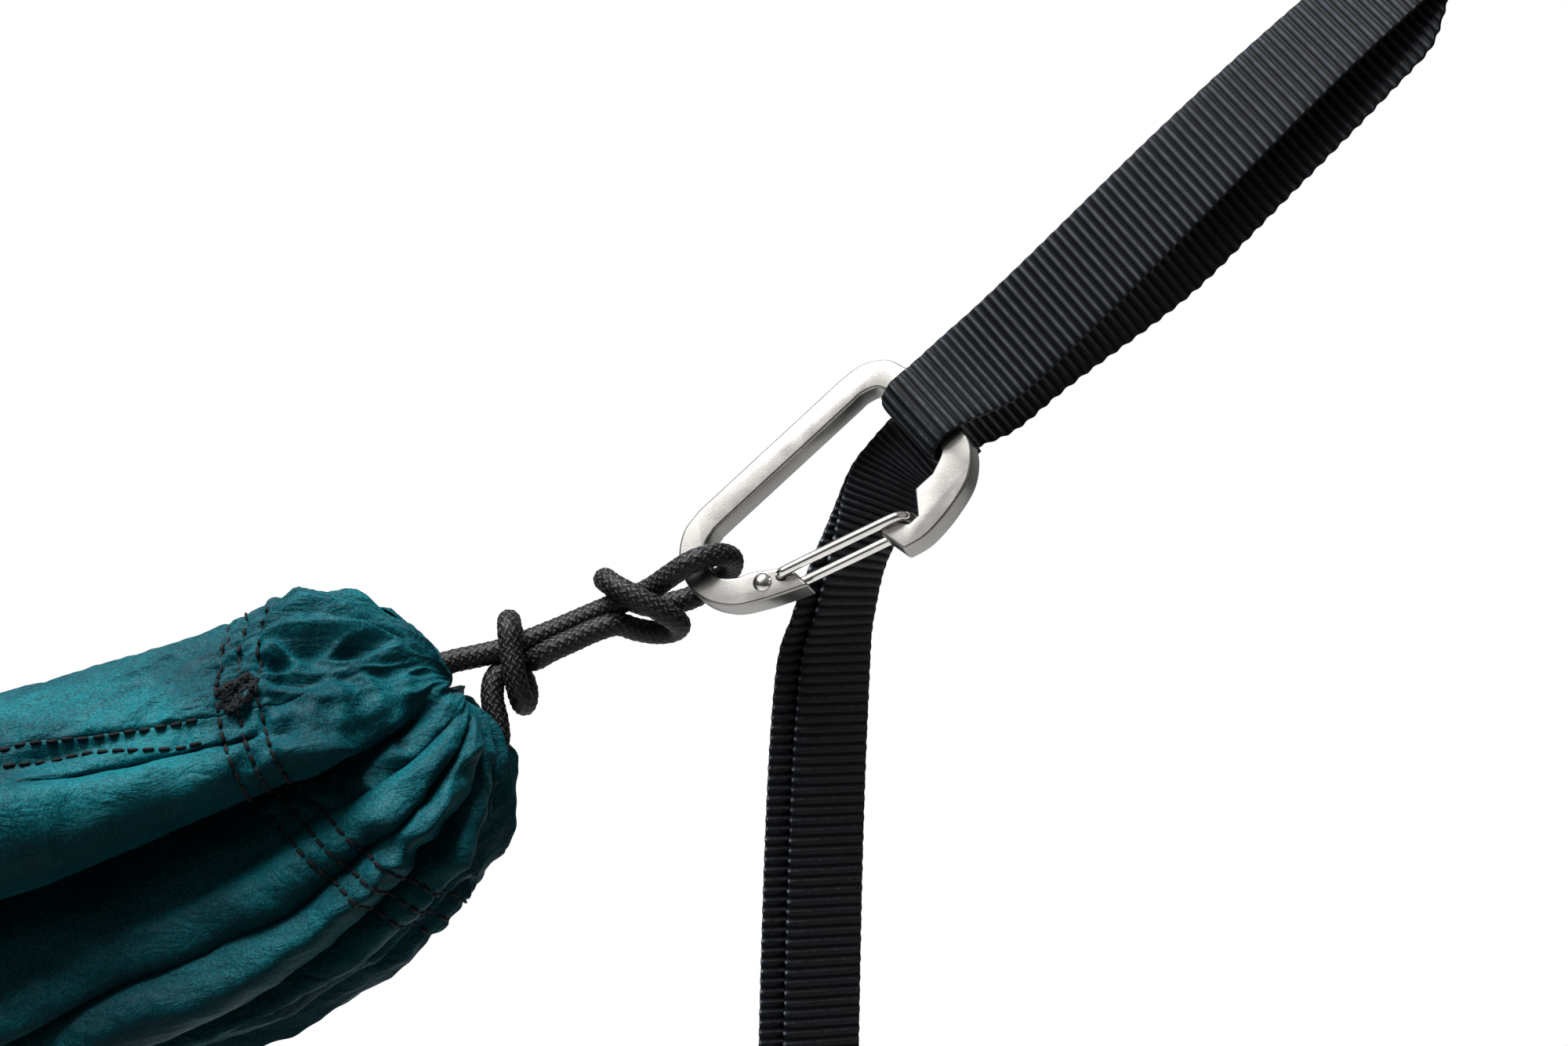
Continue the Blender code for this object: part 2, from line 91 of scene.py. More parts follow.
def smooth_curve(points, steps):
    """Points on a Catmull-Rom curve through the given ones."""
    p = np.asarray(points, float)
    p = np.vstack([2 * p[0] - p[1], p, 2 * p[-1] - p[-2]])
    t = (np.arange(steps) / steps)[:, None]
    rows = []
    for a, b, c, d in zip(p, p[1:], p[2:], p[3:]):
        rows.append(0.5 * (2 * b + (c - a) * t + (2 * a - 5 * b + 4 * c - d) * t**2
                           + (3 * b - a - 3 * c + d) * t**3))
    return np.vstack([*rows, p[-2]])


def even_points(path, step, measured=None):
    """The same path with its points a fixed step apart, and each point's distance along it.

    Distance is measured over all the columns, or over as many of the first ones as asked.
    """
    path = np.asarray(path)
    run = np.concatenate([[0], np.cumsum(np.linalg.norm(np.diff(path[:, :measured], axis=0), axis=1))])
    count = max(int(round(run[-1] / step)), 2)
    places = np.linspace(0, run[-1], count + 1)
    return np.column_stack([np.interp(places, run, path[:, k]) for k in range(path.shape[1])]), places


def smooth_step(x, low, high):
    t = np.clip((x - low) / (high - low), 0, 1)
    return t * t * (3 - 2 * t)


def grid_object(name, points, material, uv=None, wrap=False):
    """A mesh over a grid of points (rows, columns, 3), with UVs in metres; wrapped UVs have a column more."""
    rows, cols = points.shape[:2]
    index = np.arange(rows * cols).reshape(rows, cols)
    if wrap:
        index = np.hstack([index, index[:, :1]])
    faces = np.stack([index[:-1, :-1], index[:-1, 1:], index[1:, 1:], index[1:, :-1]], -1)
    mesh = bpy.data.meshes.new(name)
    mesh.from_pydata(points.reshape(-1, 3).tolist(), [], faces.reshape(-1, 4).tolist())
    if uv is not None:
        flat = uv.reshape(-1, 2)
        at = np.arange(uv.shape[0] * uv.shape[1]).reshape(uv.shape[:2])
        corners = np.stack([at[:-1, :-1], at[:-1, 1:], at[1:, 1:], at[1:, :-1]], -1).reshape(-1)
        layer = mesh.uv_layers.new(name="UVMap")
        layer.data.foreach_set("uv", flat[corners].astype(np.float32).reshape(-1))
    mesh.shade_smooth()
    return new_object(name, mesh, material)


def new_object(name, mesh, material):
    obj = bpy.data.objects.new(name, mesh)
    if material:
        mesh.materials.append(material)
    parts.objects.link(obj)
    return obj


def cap_ends(mesh, rows, around):
    """Closes the two open ends of a wrapped grid."""
    built = bmesh.new()
    built.from_mesh(mesh)
    built.verts.ensure_lookup_table()
    for ring in (range(around), range(rows * around - 1, (rows - 1) * around - 1, -1)):
        built.faces.new([built.verts[i] for i in ring])
    bmesh.ops.recalc_face_normals(built, faces=built.faces)
    built.to_mesh(mesh)
    built.free()
    mesh.shade_smooth()


def weld(mesh, distance, flat=False):
    """Joins vertices closer than the distance and, if asked, the triangles of each flat face."""
    welded = bmesh.new()
    welded.from_mesh(mesh)
    bmesh.ops.remove_doubles(welded, verts=welded.verts, dist=distance)
    if flat:
        bmesh.ops.dissolve_limit(welded, angle_limit=radians(0.5), verts=welded.verts, edges=welded.edges)
    bmesh.ops.recalc_face_normals(welded, faces=welded.faces)
    welded.to_mesh(mesh)
    welded.free()


def thread_faces(base, rings, sides):
    """The faces of one closed thread whose rings of vertices start at the given index."""
    faces = []
    for row in range(rings - 1):
        for k in range(sides):
            low, other = base + row * sides + k, base + row * sides + (k + 1) % sides
            faces.append((low, other, other + sides, low + sides))
    faces.append(tuple(range(base + sides - 1, base - 1, -1)))
    faces.append(tuple(range(base + (rings - 1) * sides, base + rings * sides)))
    return faces


def thread_object(name, points, faces, material):
    mesh = bpy.data.meshes.new(name)
    mesh.from_pydata([tuple(p) for p in points], [], faces)
    mesh.shade_smooth()
    return new_object(name, mesh, material)


def left_copy(obj, name):
    """The left end's piece: the right one reflected in the middle plane."""
    mesh = obj.data.copy()
    mesh.transform(Matrix.Diagonal((-1, 1, 1, 1)))
    mesh.flip_normals()
    made = bpy.data.objects.new(name, mesh)
    parts.objects.link(made)
    return made


def declare_both(right, name, body, node):
    """Makes the right piece's left copy, parents each to its body's empty and hides the CAD parts it stands
    for; returns them by side.
    """
    pair = {"right": right, "left": left_copy(right, f"{name}_left")}
    for side in SIDES:
        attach(pair[side], body if body == HAMMOCK else f"{body}_{side}")
        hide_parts(f"{node}_{side}")
    return pair


# ---- Materials ----
def node_material(name):
    made = bpy.data.materials.new(name)
    made.use_nodes = True
    tree = made.node_tree
    return made, tree, tree.nodes["Principled BSDF"]


def set_values(shader, values):
    for key, value in values.items():
        shader.inputs[key].default_value = value


def add_node(tree, kind, **values):
    node = tree.nodes.new(kind)
    for key, value in values.items():
        if key in node.inputs:
            node.inputs[key].default_value = value
        else:
            setattr(node, key, value)
    return node


def ramp(tree, source, stops):
    node = add_node(tree, "ShaderNodeValToRGB")
    elements = node.color_ramp.elements
    while len(elements) < len(stops):
        elements.new(0.5)
    for element, (place, colour) in zip(elements, stops):
        element.position = place
        element.color = (*colour, 1)
    tree.links.new(source, node.inputs["Fac"])
    return node.outputs["Color"]


def maths(tree, operation, a, b=None):
    node = add_node(tree, "ShaderNodeMath", operation=operation)
    for socket, value in zip(node.inputs, (a, b)):
        if value is None:
            continue
        if isinstance(value, (int, float)):
            socket.default_value = value
        else:
            tree.links.new(value, socket)
    return node.outputs[0]


def bump(tree, height, strength, distance, normal=None):
    node = add_node(tree, "ShaderNodeBump", Strength=strength, Distance=distance)
    tree.links.new(height, node.inputs["Height"])
    if normal:
        tree.links.new(normal, node.inputs["Normal"])
    return node.outputs["Normal"]


def object_noise(tree, **values):
    """Noise fixed to the object's own space."""
    coord = add_node(tree, "ShaderNodeTexCoord")
    noise = add_node(tree, "ShaderNodeTexNoise", **values)
    tree.links.new(coord.outputs["Object"], noise.inputs["Vector"])
    return noise.outputs["Fac"]


def uv_parts(tree):
    """The UV map's across and along values, in metres."""
    uv = add_node(tree, "ShaderNodeUVMap")
    split = add_node(tree, "ShaderNodeSeparateXYZ")
    tree.links.new(uv.outputs["UV"], split.inputs[0])
    return split.outputs["X"], split.outputs["Y"], uv.outputs["UV"]


def nylon_material(name):
    """Fine plain-weave nylon: satin, with a grain, faint colour clouds and small creases."""
    made, tree, shader = node_material(name)
    coord = add_node(tree, "ShaderNodeTexCoord")
    stretch = add_node(tree, "ShaderNodeMapping", Scale=(0.5, 1, 1), Rotation=(0, -radians(21.8), 0))
    tree.links.new(coord.outputs["Object"], stretch.inputs["Vector"])
    clouds = object_noise(tree, Scale=22.0, Detail=5.0, Roughness=0.6)
    grain = object_noise(tree, Scale=1500.0, Detail=3.0, Roughness=0.7)
    crumple = object_noise(tree, Scale=420.0, Detail=4.0, Roughness=0.6)
    crease = add_node(tree, "ShaderNodeTexNoise", Scale=110.0, Detail=6.0, Roughness=0.62, Distortion=1.2)
    tree.links.new(stretch.outputs[0], crease.inputs["Vector"])
    mixed = maths(tree, "ADD", maths(tree, "MULTIPLY", clouds, 0.5), maths(tree, "MULTIPLY", grain, 0.5))
    colour = ramp(tree, mixed, [(0.39, (0.0006, 0.026, 0.036)), (0.50, (0.0012, 0.062, 0.080)),
                                (0.61, (0.006, 0.145, 0.170))])
    tree.links.new(colour, shader.inputs["Base Color"])
    set_values(shader, {"Roughness": 0.52, "Specular IOR Level": 0.10, "Sheen Weight": 0.10,
                        "Sheen Roughness": 0.35, "Sheen Tint": (0.05, 0.75, 0.85, 1)})
    normal = bump(tree, crease.outputs["Fac"], 0.8, 2.2 * MM)
    normal = bump(tree, crumple, 0.45, 0.6 * MM, normal)
    tree.links.new(bump(tree, grain, 0.45, 0.25 * MM, normal), shader.inputs["Normal"])
    return made


def thread_material(name, colour):
    made, tree, shader = node_material(name)
    fibres = object_noise(tree, Scale=1500.0, Detail=2.0)
    dark = [c * 0.5 for c in colour]
    tree.links.new(ramp(tree, fibres, [(0.3, dark), (0.7, colour)]), shader.inputs["Base Color"])
    set_values(shader, {"Roughness": 0.75, "Specular IOR Level": 0.2})
    tree.links.new(bump(tree, fibres, 0.4, 0.1 * MM), shader.inputs["Normal"])
    return made


CORD_RADIUS = 3 * MM
BRAID_PAIRS = 9
BRAID_PITCH = 2.3 * MM


def cord_material():
    """Black polyester braid: each strand that lies on top is painted lighter along its crown, a painted
    highlight.
    """
    made, tree, shader = node_material("braided_black")
    across, along, uv = uv_parts(tree)
    fibres = add_node(tree, "ShaderNodeTexNoise", Scale=2600.0, Detail=2.0)
    tree.links.new(uv, fibres.inputs["Vector"])
    turn = maths(tree, "MULTIPLY", across, BRAID_PAIRS / (2 * pi * CORD_RADIUS))
    lay = maths(tree, "MULTIPLY", along, 1 / BRAID_PITCH)
    right = maths(tree, "ADD", turn, lay)
    left = maths(tree, "SUBTRACT", turn, lay)
    steps = maths(tree, "ADD", maths(tree, "FLOOR", right), maths(tree, "FLOOR", left))
    even = maths(tree, "LESS_THAN", maths(tree, "PINGPONG", steps, 1.0), 0.5)
    odd = maths(tree, "SUBTRACT", 1.0, even)
    # Painted highlight: the crown of each strand on top is given a lighter colour.
    crests = []
    for way, shown in ((right, even), (left, odd)):
        wave = maths(tree, "ABSOLUTE", maths(tree, "SINE", maths(tree, "MULTIPLY", way, pi)))
        crests.append(maths(tree, "MULTIPLY", maths(tree, "POWER", wave, 5.0), shown))
    painted_crown_highlight = maths(tree, "ADD", *crests)
    mixed = maths(tree, "MULTIPLY", painted_crown_highlight, maths(tree, "ADD", fibres.outputs["Fac"], 0.2))
    # The lightest stop is the painted highlight on the strand crowns; the darker stops are the braid's own
    # black.
    colour = ramp(tree, mixed, [(0.0, (0.002, 0.002, 0.0024)), (0.40, (0.005, 0.005, 0.006)),
                                (0.80, (0.10, 0.10, 0.105))])
    tree.links.new(colour, shader.inputs["Base Color"])
    set_values(shader, {"Roughness": 0.5, "Specular IOR Level": 0.18})
    tree.links.new(bump(tree, fibres.outputs["Fac"], 0.5, 0.12 * MM), shader.inputs["Normal"])
    return made


RIB = 2.6 * MM
RIB_THREAD = 0.45 * MM


def webbing_material():
    """Ribbed black webbing: each rib shows a row of small warp threads, painted lighter along its crest as a
    painted highlight and darkest in the hollows between ribs as painted shade.
    """
    made, tree, shader = node_material("ribbed_webbing")
    across, along, uv = uv_parts(tree)
    threads = maths(tree, "SINE", maths(tree, "MULTIPLY", across, 2 * pi / RIB_THREAD))
    crest = maths(tree, "ABSOLUTE", maths(tree, "SINE", maths(tree, "MULTIPLY", along, pi / RIB)))
    # The rib's crest drives both the threads' bump and their painted highlight.
    crown = maths(tree, "POWER", crest, 4.0)
    thread_relief_and_painted_light = maths(tree, "MULTIPLY", maths(tree, "ADD", threads, 1.0), maths(tree, "MULTIPLY", crown, 0.5))
    noise = add_node(tree, "ShaderNodeTexNoise", Scale=420.0, Detail=5.0, Roughness=0.65)
    tree.links.new(uv, noise.inputs["Vector"])
    mixed = maths(tree, "MULTIPLY", thread_relief_and_painted_light, maths(tree, "ADD", noise.outputs["Fac"], 0.25))
    # Painted light: the light stops are a painted highlight on the rib crests, and the lowest stop darkens
    # the hollows between ribs as painted shade.
    colour = ramp(tree, mixed, [(0.0, (0.0015, 0.0017, 0.0022)), (0.18, (0.009, 0.011, 0.015)),
                                (0.50, (0.062, 0.074, 0.092)), (0.95, (0.24, 0.26, 0.29))])
    tree.links.new(colour, shader.inputs["Base Color"])
    set_values(shader, {"Roughness": 0.5, "Specular IOR Level": 0.12})
    normal = bump(tree, thread_relief_and_painted_light, 0.6, 0.3 * MM)
    tree.links.new(bump(tree, noise.outputs["Fac"], 0.3, 0.2 * MM, normal), shader.inputs["Normal"])
    return made


def steel_material(name, colour, rough, grain):
    """Steel with fine tumbling marks, small pits and slow changes in polish."""
    made, tree, shader = node_material(name)
    fine = object_noise(tree, Scale=2200.0, Detail=3.0, Roughness=0.6)
    slow = object_noise(tree, Scale=140.0, Detail=4.0)
    dull = [c * 0.86 for c in colour]
    tree.links.new(ramp(tree, slow, [(0.35, dull), (0.65, colour)]), shader.inputs["Base Color"])
    shader.inputs["Metallic"].default_value = 1.0
    polish = add_node(tree, "ShaderNodeMapRange")
    set_values(polish, {"To Min": rough * 0.75, "To Max": rough * 1.35})
    tree.links.new(slow, polish.inputs["Value"])
    tree.links.new(polish.outputs[0], shader.inputs["Roughness"])
    tree.links.new(bump(tree, fine, grain, 0.08 * MM), shader.inputs["Normal"])
    return made


# ---- Cord ----
# The cord's route at the right end, in millimetres beside the basket: X, Z and Y.
LEG_UP = ((-84, -33, -2), (-78, -29, -1), (-72, -26.8, 0.4), (-65, -25.3, 1.5), (-58, -23.6, 2),
          (-51, -21, 2), (-44, -18.2, 2), (-37, -15.2, 1.6), (-29, -11.8, 0.6), (-21.5, -8.5, -1.6),
          (-16, -4.8, -5.2))
KNOT_BY_BAR = ((-10, -10.2, 7.2), (-16, -12, 6.6), (-22, -12.4, 6), (-27.5, -10.2, 6), (-31.4, -7, 4.2),
               (-32.6, -5.8, -0.6), (-29.6, -7.6, -5.6), (-23, -11, -7.8), (-17, -14.4, -6.8),
               (-13.8, -17, -2.6), (-15.2, -18.8, 2), (-19.6, -19.4, 3.8), (-24.6, -18.6, 1.4),
               (-29.5, -17.2, -1.8), (-35, -18.7, -2.8), (-41, -21.4, -2.4))
KNOT_BY_CLOTH = ((-46.5, -23.9, -2), (-50.5, -26.1, 0.4), (-53.4, -26.0, 5.0), (-55.4, -23.2, 8.0),
                 (-57, -18.6, 6.4), (-57.2, -16.4, 1.4), (-57, -18.8, -3.6), (-56.4, -24, -5.0),
                 (-55.4, -30, -5.8), (-54.2, -35.4, -4.2), (-53.2, -37.6, 0.2), (-52.8, -34.6, 4.0),
                 (-54.4, -30.4, 5.4), (-57.8, -28.9, 3.4), (-60.8, -31.2, 1.4), (-61.4, -36.2, 0),
                 (-60.2, -41.6, -0.8), (-59.8, -46.8, -1.2), (-61.5, -51.5, -1.0))
LOOP_RADIUS = 9.1
CORD_PULL = unit(np.array([-23.4, 0, -12.4]))
LOOP_BAR = UP_SPINE * -9.5 + TO_SPINE * 2.8


def cord_route():
    points = [(x, y, z) for x, z, y in LEG_UP]
    for turn in np.linspace(0, pi, 7):
        points.append(LOOP_BAR + (TO_FRONT * cos(turn) - CORD_PULL * sin(turn)) * LOOP_RADIUS)
    points += [(x, y, z) for x, z, y in KNOT_BY_BAR + KNOT_BY_CLOTH]
    return BASKET + np.array(points) * MM


def tube_frames(path):
    """Two unit vectors across a path at each point, turned as little as possible."""
    tangent = unit(np.gradient(path, axis=0))
    side = np.zeros_like(path)
    side[0] = unit(np.cross(tangent[0], Y + 0.01))
    for i in range(1, len(path)):
        side[i] = unit(side[i - 1] - tangent[i] * np.dot(side[i - 1], tangent[i]))
    return side, np.cross(tangent, side)


def braided_tube(name, path, radius, material, step=0.38 * MM, around=54):
    """A tube whose surface is a braid: two sets of strands that cross over and under."""
    path, run = even_points(path, step)
    side, up = tube_frames(path)
    turn = 2 * pi * np.arange(around + 1) / around
    u = BRAID_PAIRS * turn[None, :] / (2 * pi)
    v = run[:, None] / BRAID_PITCH
    right, left = u + v, u - v
    over = (np.floor(right) + np.floor(left)) % 2 == 0
    crown = np.where(over, np.sin(pi * (right % 1)), np.sin(pi * (left % 1)))
    lay = np.where(over, np.sin(pi * (left % 1)), np.sin(pi * (right % 1)))
    size = radius * (0.93 + 0.10 * crown * (0.45 + 0.55 * lay))
    ring = side[:, None] * np.cos(turn)[None, :, None] + up[:, None] * np.sin(turn)[None, :, None]
    points = path[:, None] + ring * size[..., None]
    uv = np.stack(np.broadcast_arrays(turn[None] * radius, run[:, None]), -1)
    tube = grid_object(name, points[:, :-1], material, uv, wrap=True)
    cap_ends(tube.data, len(path), around)
    return tube


def make_cords(material):
    route = smooth_curve(cord_route(), 8)
    right = braided_tube("braided_cord_right", route, CORD_RADIUS, material)
    for side, cord in declare_both(right, "braided_cord", HAMMOCK, "end_cord").items():
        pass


# ---- Webbing ----
WEB_WIDTH = 25 * MM
WEB_HALF = 0.55 * MM
RIB_RISE = 0.48 * MM
SCALLOP = 4.5 * MM
SECTION = 13


def ribbed_ribbon(name, path, across, material, start=0.0, scallop=0.15 * MM):
    """Webbing along a path, ribbed on both faces, its edges scalloped; across holds its width vectors."""
    joined, run = even_points(np.hstack([path, across]), RIB / 7)
    path, across = joined[:, :3], joined[:, 3:]
    width = np.linalg.norm(across, axis=1)
    tangent = unit(np.gradient(path, axis=0))
    normal = unit(np.cross(tangent, across))
    run = run + start
    rib = np.abs(np.sin(pi * run / RIB)) ** 0.85
    width = width + scallop * (np.sin(2 * pi * run / SCALLOP) - 1)
    place = np.sin(np.linspace(-pi / 2, pi / 2, SECTION))
    rounding = np.sqrt(1 - 0.8 * np.abs(place) ** 8)
    half = (WEB_HALF + RIB_RISE * rib[:, None]) * rounding[None, :]
    rows = path[:, None] + unit(across)[:, None] * (width[:, None] * place[None, :] / 2)[..., None]
    top = rows + normal[:, None] * half[..., None]
    bottom = rows - normal[:, None] * half[..., None]
    points = np.concatenate([top, bottom[:, ::-1]], axis=1)
    at = np.concatenate([place, place[::-1], place[:1]]) * WEB_WIDTH / 2
    uv = np.stack([np.broadcast_to(at[None], (len(run), len(at))),
                   np.broadcast_to(run[:, None], (len(run), len(at)))], -1)
    ribbon = grid_object(name, points, material, uv, wrap=True)
    cap_ends(ribbon.data, len(run), 2 * SECTION)
    return ribbon


def turned(across, axis, degrees):
    """The width vector turned about the strap's own line."""
    a = np.radians(degrees)[:, None]
    return across * np.cos(a) + np.cross(axis, across) * np.sin(a)


WRAP_RADIUS = 7 * MM
LAYER = 0.95 * MM
EYE_START = 0.178
STRAP_RUN = 0.30
END_CENTRE = STRAP_RUN - 0.75 * MM
TACK_ALONG = 0.165


def strap_width(along):
    """The webbing is drawn in a little where it wraps the bar."""
    return 21.5 * MM + 3.5 * MM * smooth_step(along, 0, 0.02)


def strap_place(places):
    places = np.array(places)
    return TOP_BAR + places[:, :1] * ALONG_STRAP + places[:, 1:2] * STRAP_FRONT


def twist_at(along):
    """How far the taut strap has turned about its own line, in degrees."""
    turns = ((20, 0.0, 0.03), (-30, 0.03, 0.17), (10, 0.17, 0.21))
    return sum(size * smooth_step(along, start, end) for size, start, end in turns)


def strap_drift(along):
    """How far the taut front layer lies to the side of the back one."""
    return 8 * MM * smooth_step(along, 0.0, 0.17) * (1 - smooth_step(along, 0.18, 0.25))


def strap_front(material):
    turns = np.linspace(pi, 0, 9)
    wrap = [(-sin(a) * WRAP_RADIUS, cos(a) * WRAP_RADIUS) for a in turns]
    rise = [(0.010, 0.0050), (0.026, LAYER), (0.06, LAYER), (0.1, LAYER), (0.14, LAYER),
            (EYE_START - 0.008, LAYER), (EYE_START + 0.014, 0.004), (0.225, 0.014),
            (0.262, 0.016), (0.288, 0.013), (END_CENTRE, 0.006)]
    back = [(END_CENTRE, -0.006), (0.288, -0.013), (0.262, -0.016), (0.225, -0.014),
            (EYE_START + 0.016, -0.0035), (EYE_START + 0.008, -LAYER)]
    places = smooth_curve(wrap + rise, 6)
    places = np.vstack([places, smooth_curve(back, 6)])
    width = strap_width(places[:, 0])
    across = turned(STRAP_ACROSS[None] * width[:, None], ALONG_STRAP, twist_at(places[:, 0]))
    middle = strap_place(places * [1, 0])
    normal = turned(STRAP_FRONT[None] * np.ones((len(places), 1)), ALONG_STRAP, twist_at(places[:, 0]))
    path = middle + normal * places[:, 1:2] - unit(across) * strap_drift(places[:, :1])
    return ribbed_ribbon("strap_front_right", path, across, material)


def strap_back(material):
    """The strap's second layer: it lies behind the first, to one side."""
    bar = -(WRAP_RADIUS + 2.1 * MM)
    behind = -(WRAP_RADIUS + 1.2 * MM)
    places = smooth_curve([(EYE_START, -LAYER), (EYE_START - 0.006, -2.2 * MM), (0.155, behind * 0.7),
                           (0.13, behind), (0.1, behind), (0.06, behind), (0.026, behind),
                           (0.013, behind), (0.003, bar), (-0.004, bar)], 6)
    along = places[:, 0]
    width = strap_width(along)
    apart = smooth_step(along, -0.002, 0.014) * (1 - smooth_step(along, 0.155, 0.176))
    degrees = twist_at(along) + 6 * apart
    across = turned(STRAP_ACROSS[None] * width[:, None], ALONG_STRAP, degrees)
    aside = (2.5 + 6 * smooth_step(along, 0.02, 0.08)) * MM * apart - strap_drift(along)
    path = strap_place(places) + unit(across) * aside[:, None]
    return ribbed_ribbon("strap_back_right", path, across, material, start=0.0013, scallop=0.45 * MM)


# The tail leaves the strap behind the top bar, at these millimetres along the strap and to its front.
TAIL_START = ((4, -13.0), (-3, -12.8), (-9, -11.6))
# The tail's middle line beside the basket as X, Z and Y, and each point's width as a direction and length.
TAIL_ROUTE = ((40.5, 19, 12), (32, 3, 13.5), (27, -14, 13.5), (24, -32, 13), (21.5, -90, 12.5),
              (19.5, -200, 12), (18.5, -350, 12), (18, -500, 12), (18, -640, 12))
TAIL_TURNS = ((0.78, 0.15, -0.34, 22), (0.58, 0.72, -0.12, 24), (0.60, 0.78, 0, 25), (0.72, 0.69, 0, 25),
              (0.76, 0.65, 0, 25), (0.78, 0.62, 0, 25), (0.80, 0.60, 0, 25), (0.80, 0.60, 0, 25),
              (0.80, 0.60, 0, 25))
TAIL_LAYER = 1.05 * MM
TAIL_TACK_ROW = -15


def tail_frames():
    path = [*strap_place(np.array(TAIL_START) * MM)] + [beside(*place) for place in TAIL_ROUTE]
    across = [STRAP_ACROSS * 22 * MM] * len(TAIL_START)
    across += [unit(np.array(turn[:3])) * turn[3] * MM for turn in TAIL_TURNS]
    return smooth_curve(path, 10), smooth_curve(across, 10)


def tail_layer(name, side, material):
    path, across = tail_frames()
    out = unit(np.cross(np.gradient(path, axis=0), across))
    step = np.arange(len(path))
    shift = (2 * side - 1) * MM * 1.6 * smooth_step(step, 34, 50) * (1 - smooth_step(step, 80, 100))
    shifted = path + out * side * TAIL_LAYER + unit(across) * shift[:, None]
    return ribbed_ribbon(name, shifted, across, material, start=0.0009 * side)


def bar_tack(name, centre, along, across, material, width=21 * MM, length=3 * MM):
    """A dense zigzag of thread: each stitch is a thin raised thread across the webbing."""
    out = unit(np.cross(along, across))
    stitches, sides = 30, 6
    points, faces = [], []
    for i in range(stitches):
        middle = (i / (stitches - 1) - 0.5) * width
        lean = (1 if i % 2 else -1) * 0.25 * MM
        start = centre + across * (middle - lean) - along * length / 2
        end = centre + across * (middle + lean) + along * length / 2
        faces += thread_faces(len(points), 4, sides)
        for share, rise in ((0, -0.3 * MM), (0.15, 0.25 * MM), (0.85, 0.25 * MM), (1, -0.3 * MM)):
            place = start * (1 - share) + end * share
            for k in range(sides):
                a = 2 * pi * k / sides
                points.append(place + out * (rise + 0.32 * MM * sin(a)) + across * 0.36 * MM * cos(a))
    return thread_object(name, points, faces, material)


def make_webbing(webbing, thread):
    right = {
        "strap_front": strap_front(webbing),
        "strap_back": strap_back(webbing),
        "tail_front": tail_layer("tail_front_right", 1, webbing),
        "tail_back": tail_layer("tail_back_right", -1, webbing),
    }
    degrees = np.array([twist_at(TACK_ALONG)])
    across = turned(STRAP_ACROSS[None], ALONG_STRAP, degrees)[0]
    front = turned(STRAP_FRONT[None], ALONG_STRAP, degrees)[0]
    rise = LAYER + WEB_HALF + RIB_RISE + 0.25 * MM
    place = TOP_BAR + ALONG_STRAP * TACK_ALONG + front * rise - across * strap_drift(TACK_ALONG)
    tacks = {"strap": bar_tack("strap_bar_tack_stitches_right", place, ALONG_STRAP, across, thread)}
    path, widths = tail_frames()
    down = unit(path[TAIL_TACK_ROW + 1] - path[TAIL_TACK_ROW - 1])
    width = unit(widths[TAIL_TACK_ROW])
    out = unit(np.cross(down, width))
    place = path[TAIL_TACK_ROW] + out * (rise + 0.1 * MM)
    tacks["tail"] = bar_tack("tail_bar_tack_stitches_right", place, down, width, thread)
    for name, ribbon in right.items():
        declare_both(ribbon, name, name.split("_")[0], f"{name}_webbing")
    for body, tack in tacks.items():
        declare_both(tack, f"{body}_bar_tack_stitches", body, f"{body}_bar_tack")


# ---- Carabiner ----
# Its outline from the basket's centre, in millimetres up the spine and towards it.
OUTER_BASKET = ((9.4, -21.9), (3, -18.9), (-2.6, -16), (-8.6, -11.9), (-12.6, -5.6), (-13.3, 1.5),
                (-10.4, 8.3), (-5, 12.9), (1.5, 14.4))
OUTER_TOP = ((50, 14.4), (57, 13.6), (62.8, 9.9), (65, 4.5))
OUTER_NOSE = ((65, -17), (63.5, -24), (57.5, -30), (48.5, -33), (39.5, -34), (33, -32.6))
HOOK = ((31.6, -25.2), (32.6, -23.6), (34.4, -23.4), (38.6, -28.2), (41.4, -28.2), (45.6, -22.2))
INNER_NOSE = ((51.5, -22.3), (56.8, -19.6), (58, -15))
INNER_TOP = ((58, 1.5), (56.3, 5.6), (52.5, 7.3), (49, 7.4))
INNER_BASKET = ((1.5, 7.4), (-3.2, 5.8), (-6.2, 1.5), (-6, -3), (-3.2, -6.4), (1, -8.6), (8.8, -14.4))
BAR_HALF_DEPTH = 4 * MM
WIRE_RADIUS = 1.3 * MM
GATE_HINGE = np.array([5.8, -14.8])
GATE_END = np.array([39.9, -26.2])
GATE_HALF_SPREAD = 5.8
RIVET_AT = (1.2, -12.6)
RIVET_RADIUS = 1.5 * MM
RIVET_HEAD = 2.5 * MM
CARABINER = Matrix([[*np.column_stack([UP_SPINE, TO_SPINE, TO_FRONT])[k], BASKET[k]] for k in range(3)]
                   + [[0, 0, 0, 1]])


def carabiner_point(u, v, w=0.0):
    return BASKET + (UP_SPINE * u + TO_SPINE * v + TO_FRONT * w) * MM


def drill(name, place, radius):
    bpy.ops.mesh.primitive_cylinder_add(vertices=48, radius=radius, depth=5 * BAR_HALF_DEPTH)
    bit = bpy.context.object
    bit.name = name
    bit.data.transform(Matrix.Translation(Vector((*place, 0)) * MM))
    return bit


def evaluated_mesh(obj):
    """The object's evaluated mesh; the object itself is removed."""
    graph = bpy.context.evaluated_depsgraph_get()
    mesh = bpy.data.meshes.new_from_object(obj.evaluated_get(graph))
    bpy.data.objects.remove(obj, do_unlink=True)
    return mesh


